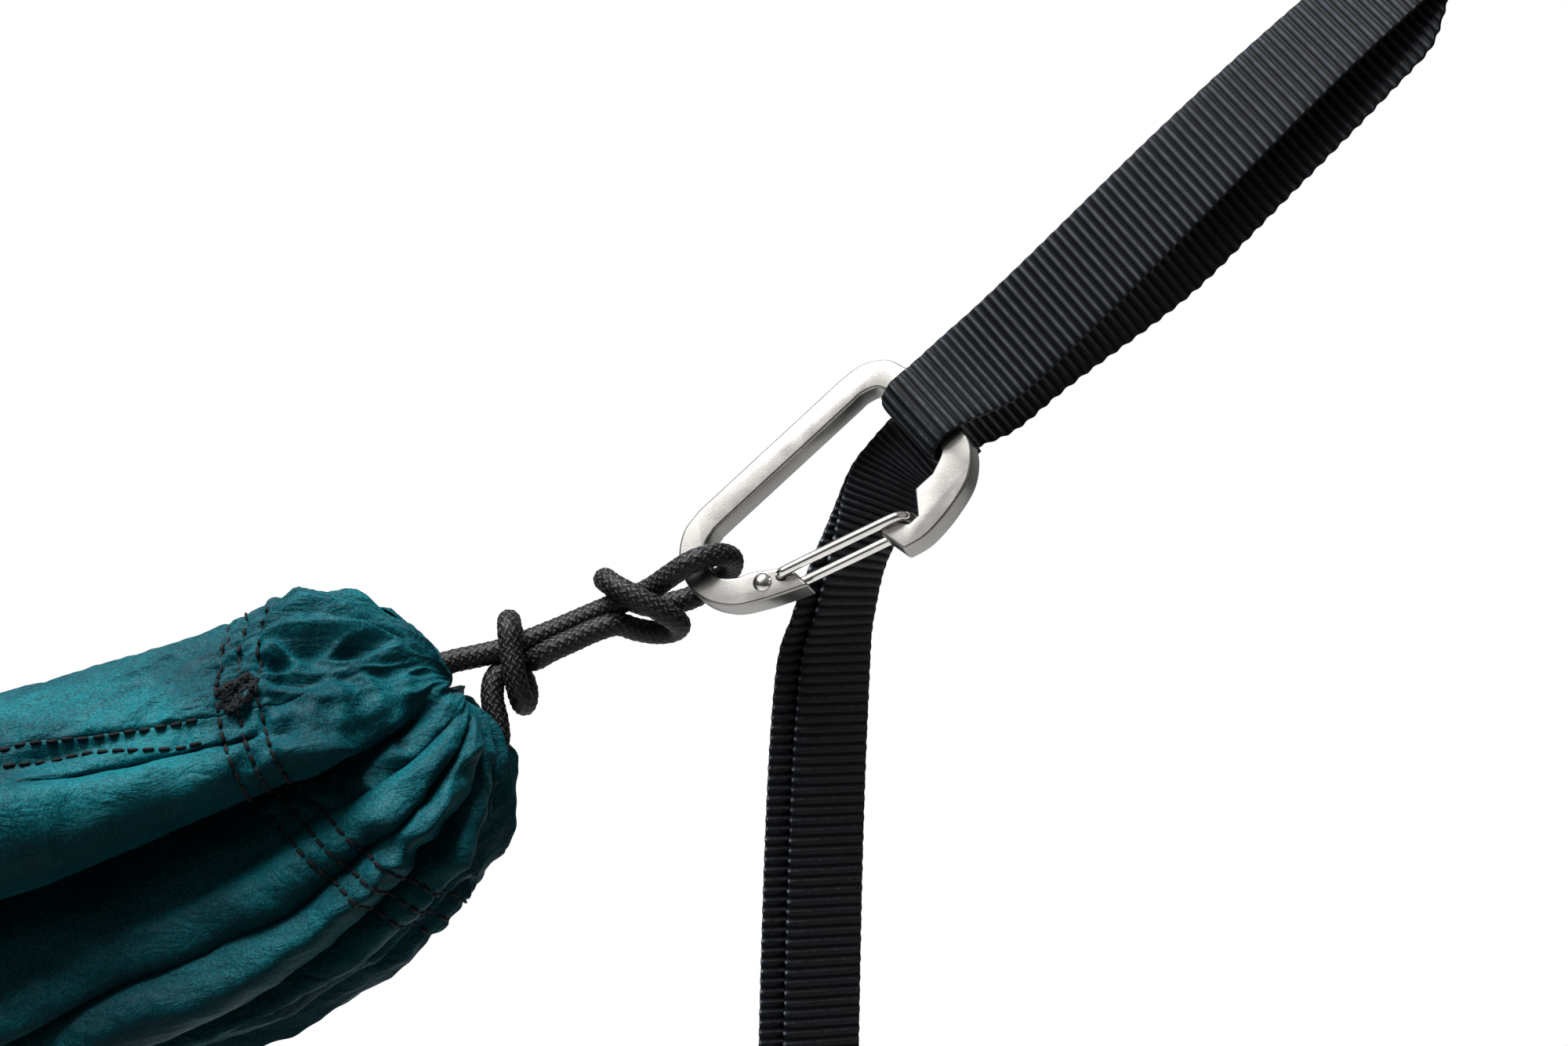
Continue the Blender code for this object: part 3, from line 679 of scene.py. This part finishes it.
def carabiner_body(faces_steel_painted_dark, edge_steel):
    """A forged profile with two flat satin faces, their steel painted darker than the rounded, polished edges
    as painted shade.
    """
    curve = bpy.data.curves.new("carabiner_outline", "CURVE")
    curve.dimensions = "2D"
    curve.fill_mode = "BOTH"
    curve.extrude = BAR_HALF_DEPTH
    points = []
    for run in (OUTER_BASKET, OUTER_TOP, OUTER_NOSE):
        points.extend(smooth_curve(run, 9))
    points.extend(HOOK)
    for run in (INNER_NOSE, INNER_TOP, INNER_BASKET):
        points.extend(smooth_curve(run, 9))
    spline = curve.splines.new("POLY")
    spline.points.add(len(points) - 1)
    for point, place in zip(spline.points, points):
        point.co = (place[0] * MM, place[1] * MM, 0, 1)
    spline.use_cyclic_u = True
    flat = new_object("carabiner_outline", curve, None)
    mesh = evaluated_mesh(flat)
    weld(mesh, 0.001 * MM, flat=True)
    body = new_object("carabiner_blank", mesh, faces_steel_painted_dark)
    body.data.materials.append(edge_steel)
    cutters = [drill("hinge_drill", GATE_HINGE, WIRE_RADIUS + 0.2 * MM),
               drill("rivet_drill", RIVET_AT, RIVET_RADIUS + 0.2 * MM)]
    rounding = body.modifiers.new("rounding", "BEVEL")
    rounding.width = 2.5 * MM
    rounding.segments = 7
    rounding.limit_method = "ANGLE"
    rounding.angle_limit = radians(60)
    for cutter in cutters:
        hole = body.modifiers.new(cutter.name, "BOOLEAN")
        hole.operation = "DIFFERENCE"
        hole.object = cutter
    shape = evaluated_mesh(body)
    for cutter in cutters:
        bpy.data.objects.remove(cutter, do_unlink=True)
    # The flat faces take the darker steel, which is painted shade; the rounded edges take the polished steel.
    for polygon in shape.polygons:
        polygon.material_index = 0 if abs(polygon.normal.z) > 0.985 else 1
        polygon.use_smooth = True
    shape.transform(CARABINER)
    shape.materials.clear()
    made = new_object("carabiner_forged_right", shape, faces_steel_painted_dark)
    made.data.materials.append(edge_steel)
    made.data.set_sharp_from_angle(angle=radians(38))
    return made


def wire_gate(material):
    """One bent wire: its two ends turn in the hinge hole and its closed end rests in the nose."""
    leg = unit(GATE_END - GATE_HINGE)
    side = GATE_HALF_SPREAD
    half = [(GATE_HINGE, 1.0), (GATE_HINGE, side - 2.0), (GATE_HINGE + leg * 0.5, side - 0.6),
            (GATE_HINGE + leg * 2.4, side), (GATE_HINGE + leg * 12, side + 0.1),
            (GATE_END - leg * 12, side + 0.1), (GATE_END - leg * 4.4, side),
            (GATE_END - leg * 2.0, side - 0.8), (GATE_END - leg * 0.5, side - 2.4)]
    points = [carabiner_point(*p, w) for p, w in half]
    points += [carabiner_point(*GATE_END, 0.0)]
    points += [carabiner_point(*p, -w) for p, w in reversed(half)]
    path = even_points(smooth_curve(points, 10), 0.35 * MM)[0]
    across, up = tube_frames(path)
    turn = 2 * pi * np.arange(24) / 24
    ring = across[:, None] * np.cos(turn)[None, :, None] + up[:, None] * np.sin(turn)[None, :, None]
    gate = grid_object("bent_wire_gate_right", path[:, None] + ring * WIRE_RADIUS, material, wrap=True)
    cap_ends(gate.data, len(path), len(turn))
    return gate


def turned_rivet(material):
    """A pin with a low domed head on each side of the bar."""
    face = BAR_HALF_DEPTH
    dome = [(0.0, 1.30), (0.7, 1.24), (1.3, 1.05), (1.9, 0.72), (2.3, 0.38), (2.5, 0.1)]
    profile = [(r * MM, face + z * MM) for r, z in dome]
    profile += [(RIVET_HEAD, face - 0.05 * MM), (RIVET_RADIUS, face)]
    profile += [(r, -z) for r, z in reversed(profile)]
    turns = np.linspace(0, 2 * pi, 49)[:-1]
    rows = np.array([[(r * cos(a), r * sin(a), z) for a in turns] for r, z in profile])
    rivet = grid_object("domed_rivet_right", rows, material, wrap=True)
    weld(rivet.data, 0.0005 * MM)
    rivet.data.transform(CARABINER @ Matrix.Translation(Vector((*RIVET_AT, 0)) * MM))
    rivet.data.shade_smooth()
    return rivet


def make_carabiners(faces_steel_painted_dark, edge_steel, wire_steel):
    body = carabiner_body(faces_steel_painted_dark, edge_steel)
    declare_both(body, "carabiner_forged", "carabiner", "carabiner_body")
    declare_both(wire_gate(wire_steel), "bent_wire_gate", "gate", "wire_gate")
    declare_both(turned_rivet(wire_steel), "domed_rivet", "carabiner", "gate_rivet")


# ---- Fabric ----
# The ring is where the cloth is sewn closed; stations inside it are measured back along the hammock.
RING = beside(-95, -48)
CINCH = beside(-70.4, -33.6, -5)
END_SLOPE = 0.40
CENTRE_SHARE = 0.46
CLOTH_THICK = 0.5 * MM
NEAR = 0.12
NEAR_ROWS, FAR_ROWS, BAG_ROWS = 170, 74, 72
SIDE_COLUMNS, CENTRE_COLUMNS = 110, 220
# The three rows of stitches that close the ring, and the two beside each seam.
STITCH_ROWS = (-0.3 * MM, 4.7 * MM, 9.7 * MM)
SEAM_ROWS = (0.2 * MM, 4.4 * MM)
END_TACK_STITCHES = 150
BAG_LENGTH = 48 * MM
BAG_AXIS = np.array([0.928, 0, 0.371])
BAG_UP = np.array([-0.371, 0, 0.928])
# The bundle's size at the ring, and how much wider, deeper and higher the hammock's middle is, in metres.
RING_SIZE = 30 * MM
MIDDLE_WIDTH = 0.30
MIDDLE_DROP = 0.43
MIDDLE_RISE = 0.12
MIDDLE_EASE = 0.12
FOLD_REACH = 92 * MM
BUNDLE_SIZE = 40 * MM

# Each fold on the front half: its angle from the top at the ring and at 92 mm inside it, in degrees,
# how deep it goes in millimetres, its half width in degrees and how far its upper lip hangs over it.
FRONT_FOLDS = ((22, 12, 1.2, 5, 0), (40, 24, 1.6, 5, 0), (63, 44, 5, 4, 1), (70, 53, 6.5, 4, 3),
               (76, 70, -7, 11, 0), (87, 93, 24, 9, 10), (97, 106, 17, 13, 0), (108, 118, 7, 4, 5),
               (114, 125, -4, 5, 0), (121, 132, 15, 4, 7), (129, 141, -5, 5, 0), (138, 148, 14, 4, 6),
               (147, 156, -3, 5, 0), (155, 163, 12, 5, 4), (168, 174, 8, 5, 3))
BACK_FOLDS = ((0, 3, 2.6, 8, 0), (18, 10, 3, 6, 1), (37, 25, 5, 7, 2), (52, 44, 3, 4, 1),
              (66, 62, 9, 8, 4), (82, 76, 3.5, 5, 1), (95, 98, 13, 8, 6), (112, 116, 5, 5, 2),
              (126, 131, 9, 7, 4), (143, 146, 5, 6, 2), (160, 162, 6, 5, 2))


def waves(u, v, seed, count, low, high, stretch=1.0):
    """Smooth noise in -1 to 1: many sine waves in seeded directions; stretch lengthens it along v."""
    draw = np.random.default_rng(seed)
    total = 0
    weight = 0
    for _ in range(count):
        size = low * (high / low) ** draw.random()
        turn = draw.random() * pi
        share = (size / high) ** 0.6
        phase = 2 * pi * draw.random()
        along = (u * cos(turn) + v / stretch * sin(turn)) * 2 * pi / size
        across = (u * sin(turn) - v / stretch * cos(turn)) * 2 * pi / size
        bend = 1.3 * np.sin(across / 2.3 + phase * 3)
        total = total + share * np.sin(along + bend + phase)
        weight += share**2
    return total / (weight**0.5 * 1.4)


def at_depth(depth, *pairs):
    """A value that goes smoothly through (millimetres inside the ring, value) pairs."""
    places, values = np.array(pairs, float).T
    return np.interp(depth, places * MM, values)


def level_middle(depth):
    """Depth, eased so that nothing which follows it has a kink at the hammock's middle."""
    to_middle = RING[0] - depth
    return RING[0] - to_middle - MIDDLE_EASE * np.exp(-to_middle / MIDDLE_EASE)


def section_angle(q, depth):
    """The angle from the bottom of column q, -1 at the front hem and 1 at the back one."""
    depth = level_middle(depth)
    seam = at_depth(depth, (0, 119), (50, 133), (92, 141), (180, 128), (320, 98), (600, 66), (1255, 42))
    hem = at_depth(depth, (0, 180), (60, 179.5), (92, 177), (180, 158), (320, 135), (600, 108), (1255, 92))
    share = np.abs(q) / CENTRE_SHARE
    past = (np.abs(q) - CENTRE_SHARE) / (1 - CENTRE_SHARE)
    degrees = np.where(share < 1, share * seam, seam + past * (hem - seam))
    return np.radians(degrees) * np.sign(q)


def smooth_body(angle, depth):
    """The body without folds: its outer surface, from the CAD sections, trimmed to the gathered bundle."""
    x = RING[0] - depth
    share = x / RING[0]
    spread = np.maximum(1 - share**2, 0) ** 1.4
    wall = (1.6 + 18.4 * (1 - spread) ** 6) * MM
    half_width = RING_SIZE + spread * MIDDLE_WIDTH + wall / 2
    low = RING_SIZE + spread * MIDDLE_DROP + wall / 2
    below = low * at_depth(depth, (-1, 1.16), (6, 1.26), (22, 1.36), (45, 1.32), (70, 1.2), (110, 1.08),
                           (180, 1.0), (1255, 1.0))
    high = low * at_depth(depth, (0, 1.04), (52, 0.775), (92, 0.60), (200, 0.60), (500, 0.85), (1255, 1.0))
    middle_z = RING[2] - END_SLOPE * RING[0] / 2 * (1 - share**2) + MIDDLE_RISE * spread
    slope = np.arctan(END_SLOPE * share)
    rise = np.where(np.cos(angle) > 0, -below, -high) * np.cos(angle)
    lean = np.exp(-((depth / 0.07) ** 2)) * MM
    front, back = np.maximum(-np.sin(angle), 0), np.maximum(np.sin(angle), 0)
    along = lean * (9.5 * np.cos(angle) - 17 * front**2 - 6 * back**2)
    out_x = -np.sin(slope) * rise + np.cos(slope) * along
    out_z = np.cos(slope) * rise + np.sin(slope) * along
    return np.stack([x + out_x, half_width * np.sin(angle), middle_z + out_z], -1)


def fold_relief(angle, depth):
    """How far the folds draw the cloth in at each point, and how far they hang it downwards, in metres."""
    from_top = 180 - np.degrees(np.abs(angle))
    inward, hung = np.zeros_like(angle), np.zeros_like(angle)
    fade = at_depth(depth, (-1, 0.9), (0, 0.9), (40, 1.0), (120, 1.0), (300, 0.9), (600, 0.35), (1255, 0.0))
    for folds, side in ((FRONT_FOLDS, angle <= 0), (BACK_FOLDS, angle > 0)):
        for i, (at_ring, at_edge, deep, width, lap) in enumerate(folds):
            drift = 2.2 * np.sin(depth * (31 + 7 * (i % 3)) + 1.7 * i) * np.clip(depth / 0.05, 0, 1)
            run = np.clip(depth / FOLD_REACH, -0.2, 1.6)
            centre = at_ring + (at_edge - at_ring) * run + drift
            spread = width * (1 + 1.4 * np.clip(depth / 0.3, 0, 2))
            t = (from_top - centre) / spread
            size = side * fade * (1 + 0.25 * np.sin(depth * 47 + 2.1 * i))
            inward += deep * size * np.exp(-(np.abs(t) ** 1.7))
            hung += lap * size * np.exp(-((t + 0.9) ** 2) * 1.6)
    return inward * MM, hung * MM


def fine_relief(arc, depth):
    """Creases and soft dents in the cloth, and the puckers beside each row of stitches."""
    u, v = arc, level_middle(depth)
    strength = at_depth(depth, (0, 1), (150, 1), (500, 0.6), (1255, 0.5))
    relief = 0.9 * MM * waves(u, v, 3, 22, 0.018, 0.075, 3.0) * strength
    crease = waves(u, v, 5, 26, 0.006, 0.030, 2.2)
    relief += 0.75 * MM * (1 - 2 * np.abs(crease)) * strength
    small = waves(u, v, 8, 18, 0.0022, 0.009, 1.5)
    relief += 0.16 * MM * small * strength
    pucker = np.sin(u * 2 * pi / 0.0046 + 2.5 * waves(u, v, 13, 8, 0.01, 0.03))
    near = np.exp(-(((depth - 4.7 * MM) / (8 * MM)) ** 2))
    relief += 0.8 * MM * pucker * near
    for row in STITCH_ROWS:
        relief -= 1.1 * MM * np.exp(-np.abs(depth - row) / (1.1 * MM))
    return relief


def grid_normals(points):
    along = np.gradient(points, axis=0)
    round_ = np.gradient(points, axis=1)
    normal = np.cross(round_, along)
    length = np.linalg.norm(normal, axis=-1, keepdims=True)
    return normal / np.maximum(length, 1e-9)


def bag_points(base, slope, columns_angle):
    """The gathered end: each column curves from the ring to the cinch on a Bezier."""
    top = ((1 - np.cos(columns_angle)) / 2)[:, None]
    round_cinch = BAG_UP * -np.cos(columns_angle)[:, None] + Y * np.sin(columns_angle)[:, None]
    reach = (13 * top + 22 * (1 - top)) * MM
    first = base + slope * reach
    second = CINCH + round_cinch * 16 * MM + BAG_AXIS * (15 * (1 - top) + 2 * top) * MM
    last = CINCH + round_cinch * 3.4 * MM - BAG_AXIS * 2.0 * MM
    t = np.linspace(0, 1, BAG_ROWS + 1)[:, None, None]
    return (1 - t) ** 3 * base + 3 * (1 - t) ** 2 * t * first + 3 * (1 - t) * t**2 * second + t**3 * last


def cloth_grid():
    """The whole outer surface of the right half: rows from the middle of the hammock to the cinch."""
    side = np.linspace(CENTRE_SHARE, 1, SIDE_COLUMNS + 1)
    centre = np.linspace(-CENTRE_SHARE, CENTRE_SHARE, CENTRE_COLUMNS + 1)
    q = np.concatenate([-side[::-1], centre[1:-1], side])
    near = np.linspace(0, NEAR, NEAR_ROWS + 1)
    far = NEAR + (RING[0] - NEAR) * np.linspace(0, 1, FAR_ROWS + 1)[1:] ** 1.35
    depth = np.concatenate([far[::-1], near[::-1]])[:, None]
    depth, columns = np.broadcast_arrays(depth, q[None])
    angle = section_angle(columns, depth)
    body = smooth_body(angle, depth)
    slope = unit(body[-1] - body[-4])
    bag = bag_points(body[-1], slope, angle[-1])[1:]
    surface = np.concatenate([body, bag])
    run = np.linalg.norm(np.diff(bag, axis=0, prepend=body[-1:]), axis=-1).cumsum(axis=0)
    depth = np.concatenate([depth, -run])
    angle = np.concatenate([angle, np.broadcast_to(angle[-1], run.shape)])
    return surface, depth, angle


def seam_gap(angle, depth):
    """How far each point is from its seam, in metres, positive towards the hem."""
    radius = at_depth(depth, (0, 0.042), (92, 0.050), (320, 0.12), (1255, 0.40))
    columns = np.full_like(angle, CENTRE_SHARE)
    return (np.abs(angle) - section_angle(columns, depth)) * radius


def seam_relief(angle, depth):
    """The lapped seam: a flat step 7 mm wide, drawn in along its two rows of stitches."""
    gap = seam_gap(angle, depth)
    step = 0.35 * MM * smooth_step(gap, -6 * MM, -5 * MM) * (1 - smooth_step(gap, 1 * MM, 2 * MM))
    groove = sum(np.exp(-np.abs(gap + row) / (0.8 * MM)) for row in SEAM_ROWS)
    pucker = np.sin(depth * 2 * pi / 0.0052 + 2 * np.sin(depth * 173))
    return step - 0.45 * MM * groove + 0.22 * MM * pucker * np.exp(-((gap + 2 * MM) / (5 * MM)) ** 2)


def folded_cloth():
    """The surface with its folds, creases and seams, and the facts that the stitching needs."""
    surface, depth, angle = cloth_grid()
    closing = np.clip(1 + depth / BAG_LENGTH, 0, 1) ** 0.8
    in_bag = depth < 0
    inward, hung = fold_relief(angle, depth)
    share = np.where(in_bag, np.minimum(1.25 * closing, 1), 1)
    relief = -inward * share
    arc = angle * BUNDLE_SIZE * (1 + 2 * np.maximum(depth, 0))
    relief += fine_relief(arc, depth) * np.where(in_bag, 0.5 + 1.1 * closing, 1)
    relief += seam_relief(angle, depth) * np.where(in_bag, closing, 1)
    gathers = 1 - 2.2 * np.abs(waves(angle * BUNDLE_SIZE, depth, 21, 14, 0.010, 0.042, 5.0))
    relief += 4.2 * MM * gathers * smooth_step(-depth, 0, 0.010) * (0.25 + 0.75 * closing)
    crumples = 1 - 2.2 * np.abs(waves(arc, depth, 31, 24, 0.007, 0.020, 2.2))
    relief += 2.0 * MM * crumples * smooth_step(-depth, -0.004, 0.008) * (0.2 + 0.8 * closing)
    downwards = unit(np.gradient(surface, axis=1)) * -np.sign(angle)[..., None]
    points = surface + grid_normals(surface) * relief[..., None] + downwards * (hung * share)[..., None]
    return points, depth, angle


def both_ends(grid):
    """The right half's grid with the left half's before it, reflected."""
    left = grid[::-1].copy()
    left[..., 0] *= -1
    return np.concatenate([left[:-1], grid])


def stitched(name, places, material, length=3.1 * MM, radius=0.55 * MM, sides=6):
    """Short threads that dip in at both ends, one for each (place, outward, ahead)."""
    points, faces = [], []
    for place, out, ahead in places:
        side = np.cross(ahead, out)
        faces += thread_faces(len(points), 4, sides)
        for along, rise, size in ((-0.5, -0.4, 0.6), (-0.34, 0.5, 1), (0.34, 0.5, 1), (0.5, -0.4, 0.6)):
            middle = place + ahead * along * length + out * rise * radius
            for k in range(sides):
                a = 2 * pi * k / sides
                points.append(middle + (out * sin(a) + side * cos(a)) * radius * size)
    return thread_object(name, points, faces, material)


def thread_runs(name, lines, material, pitch=4.0 * MM):
    """Stitches along each line of (points, normals)."""
    places = []
    for points, normals in lines:
        joined = even_points(np.hstack([points, normals]), pitch, measured=3)[0]
        points, normals = joined[:, :3], unit(joined[:, 3:])
        tangent = unit(np.gradient(points, axis=0))
        places += list(zip(points, normals, tangent))[1:-1]
    return stitched(name, places, material)


def seam_end_tack(points, normals, depth, angle, material):
    """The untidy patch of thread where each seam meets the ring of stitches."""
    draw = np.random.default_rng(4)
    places = []
    other_side = 1000
    from_top = 180 - np.abs(np.degrees(angle))
    for side in (-1, 1):
        for _ in range(END_TACK_STITCHES):
            spot, size = draw.uniform(0, 2 * pi), draw.uniform(0, 1) ** 0.5
            far = np.abs(depth - (4.5 + 5 * size * cos(spot)) * MM) / (0.8 * MM)
            off = np.abs(from_top - (53 + 6 * size * sin(spot))) + other_side * (np.sign(angle) != side)
            at = np.unravel_index((far + off).argmin(), depth.shape)
            out = normals[at]
            ahead = unit(np.cross(out, draw.normal(size=3)))
            places.append((points[at], out, ahead))
    return stitched("seam_end_tacks_right", places, material, length=2.6 * MM, radius=0.34 * MM)


def row_line(points, normals, depth, place):
    """The line round the bundle that lies a given distance inside the ring."""
    rows = depth[:, 0]
    at = np.interp(place, rows[::-1], np.arange(len(rows))[::-1])
    low = int(np.floor(at))
    share = at - low
    return (points[low] * (1 - share) + points[low + 1] * share,
            normals[low] * (1 - share) + normals[low + 1] * share)


def seam_lines(points, normals, angle, depth, rows):
    """Lines along both seams, each row a given distance to the centre panel's side of it."""
    lines = []
    gap = seam_gap(angle, depth)
    body = depth[:, 0] > 12 * MM
    middle = points.shape[1] // 2
    for half in (slice(0, middle), slice(middle, None)):
        for row in rows:
            past = -gap[body, half] - row
            after = ((past[:, 1:] > 0) != (past[:, :-1] > 0)).argmax(axis=1)
            index = np.arange(len(past))
            low, high = past[index, after], past[index, after + 1]
            share = (low / (low - high))[:, None]
            line = []
            for grid in (points[body, half], normals[body, half]):
                line.append(grid[index, after] * (1 - share) + grid[index, after + 1] * share)
            lines.append(line)
    return lines


def make_cloth(nylon, thread):
    points, depth, angle = folded_cloth()
    normals = grid_normals(points)
    whole = both_ends(points)
    cuts = {"front_side": (0, SIDE_COLUMNS), "centre": (SIDE_COLUMNS, SIDE_COLUMNS + CENTRE_COLUMNS),
            "back_side": (SIDE_COLUMNS + CENTRE_COLUMNS, whole.shape[1] - 1)}
    for name, (low, high) in cuts.items():
        cloth = grid_object(f"{name}_cloth", whole[:, low : high + 1], nylon)
        thick = cloth.modifiers.new("thickness", "SOLIDIFY")
        thick.thickness = CLOTH_THICK
        thick.offset = -1
        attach(cloth, HAMMOCK)
        nodes = [f"{name}_panel"]
        if name == "centre":
            nodes += ["end_channel_right", "end_channel_left"]
        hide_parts(*nodes)
    ring_lines = [row_line(points, normals, depth, row) for row in STITCH_ROWS]
    ring = thread_runs("ring_stitches_right", ring_lines, thread)
    seams = thread_runs("seam_stitches_right", seam_lines(points, normals, angle, depth, SEAM_ROWS), thread)
    tacks = seam_end_tack(points, normals, depth, angle, thread)
    for right in (ring, seams, tacks):
        for piece in (right, left_copy(right, right.name.replace("right", "left"))):
            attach(piece, HAMMOCK)


# ---- Studio ----
def area_light(name, place, target, size, power):
    lamp = bpy.data.lights.new(name, "AREA")
    lamp.shape = "DISK"
    lamp.size = size
    lamp.energy = power
    obj = bpy.data.objects.new(name, lamp)
    bpy.context.scene.collection.objects.link(obj)
    obj.location = place
    obj.rotation_euler = Vector(np.array(target) - np.array(place)).to_track_quat("-Z", "Y").to_euler()


def white_studio():
    """A world that lights softly from above and from behind, and shows as plain white."""
    world = bpy.data.worlds.new("studio")
    bpy.context.scene.world = world
    world.use_nodes = True
    tree = world.node_tree
    tree.nodes.clear()
    coord = add_node(tree, "ShaderNodeTexCoord")
    split = add_node(tree, "ShaderNodeSeparateXYZ")
    tree.links.new(coord.outputs["Generated"], split.inputs[0])
    height = maths(tree, "MULTIPLY_ADD", split.outputs["Z"], 0.5)
    height.node.inputs[2].default_value = 0.5
    greys = ((0.30, 0.04), (0.62, 0.30), (0.9, 0.9))
    colour = ramp(tree, height, [(place, (grey, grey, grey)) for place, grey in greys])
    path = add_node(tree, "ShaderNodeLightPath")
    glossy = maths(tree, "MULTIPLY_ADD", path.outputs["Is Glossy Ray"], 0.26)
    glossy.node.inputs[2].default_value = 0.05
    behind = maths(tree, "MULTIPLY", maths(tree, "MAXIMUM", split.outputs["Y"], 0.0), 0.9)
    strength = maths(tree, "ADD", glossy, behind)
    soft = add_node(tree, "ShaderNodeBackground")
    tree.links.new(strength, soft.inputs["Strength"])
    tree.links.new(colour, soft.inputs["Color"])
    seen = add_node(tree, "ShaderNodeBackground", Strength=1.0)
    seen.inputs["Color"].default_value = (1, 1, 1, 1)
    mix = add_node(tree, "ShaderNodeMixShader")
    tree.links.new(path.outputs["Is Camera Ray"], mix.inputs["Fac"])
    tree.links.new(soft.outputs[0], mix.inputs[1])
    tree.links.new(seen.outputs[0], mix.inputs[2])
    out = add_node(tree, "ShaderNodeOutputWorld")
    tree.links.new(mix.outputs[0], out.inputs["Surface"])


FLOOR_BELOW = 0.45
CAMERA_AT = beside(13, 8.6, -1500)
CAMERA_LENS = 135
FILM_WIDTH = 36


def make_floor():
    material, _, shader = node_material("pale_floor")
    set_values(shader, {"Base Color": (0.8, 0.8, 0.8, 1), "Roughness": 0.8,
                        "Emission Color": (1, 1, 1, 1), "Emission Strength": 0.5})
    z = cad_bounds[0][2] - FLOOR_BELOW
    mesh = bpy.data.meshes.new("floor")
    mesh.from_pydata([(-4, -3, z), (4, -3, z), (4, 3, z), (-4, 3, z)], [], [(0, 1, 2, 3)])
    floor = new_object("floor", mesh, material)
    floor.visible_diffuse = False


def make_camera():
    camera = bpy.data.cameras.new("camera")
    camera.lens = CAMERA_LENS
    camera.sensor_width = FILM_WIDTH
    obj = bpy.data.objects.new("camera", camera)
    bpy.context.scene.collection.objects.link(obj)
    obj.location = CAMERA_AT
    obj.rotation_euler = (radians(90), 0, 0)
    bpy.context.scene.camera = obj


def main():
    bpy.context.scene.view_settings.view_transform = "Standard"
    white_studio()
    make_floor()
    make_camera()
    area_light("key", beside(-330, 1090, -330), beside(-40, -20), 0.7, 30)
    area_light("front_panel", beside(-570, 620, -700), beside(20, 10), 0.8, 0.9)
    area_light("body_light", (-0.5, -0.9, 1.5), (-0.4, 0, -0.6), 1.6, 26)
    area_light("right_fill", beside(900, 300, -700), beside(30, 0), 0.6, 0.4)
    thread = thread_material("black_thread", (0.005, 0.007, 0.009))
    make_cloth(nylon_material("teal_nylon"), thread)
    make_cords(cord_material())
    make_webbing(webbing_material(), thread)
    # The satin faces' steel is painted darker than the polished steel, as painted shade; only its higher
    # roughness is the real satin finish.
    make_carabiners(steel_material("satin_steel_painted_dark", (0.32, 0.31, 0.295), 0.30, 0.25),
                    steel_material("polished_steel", (0.70, 0.67, 0.63), 0.16, 0.12),
                    steel_material("drawn_wire_steel", (0.72, 0.70, 0.67), 0.18, 0.10))


main()
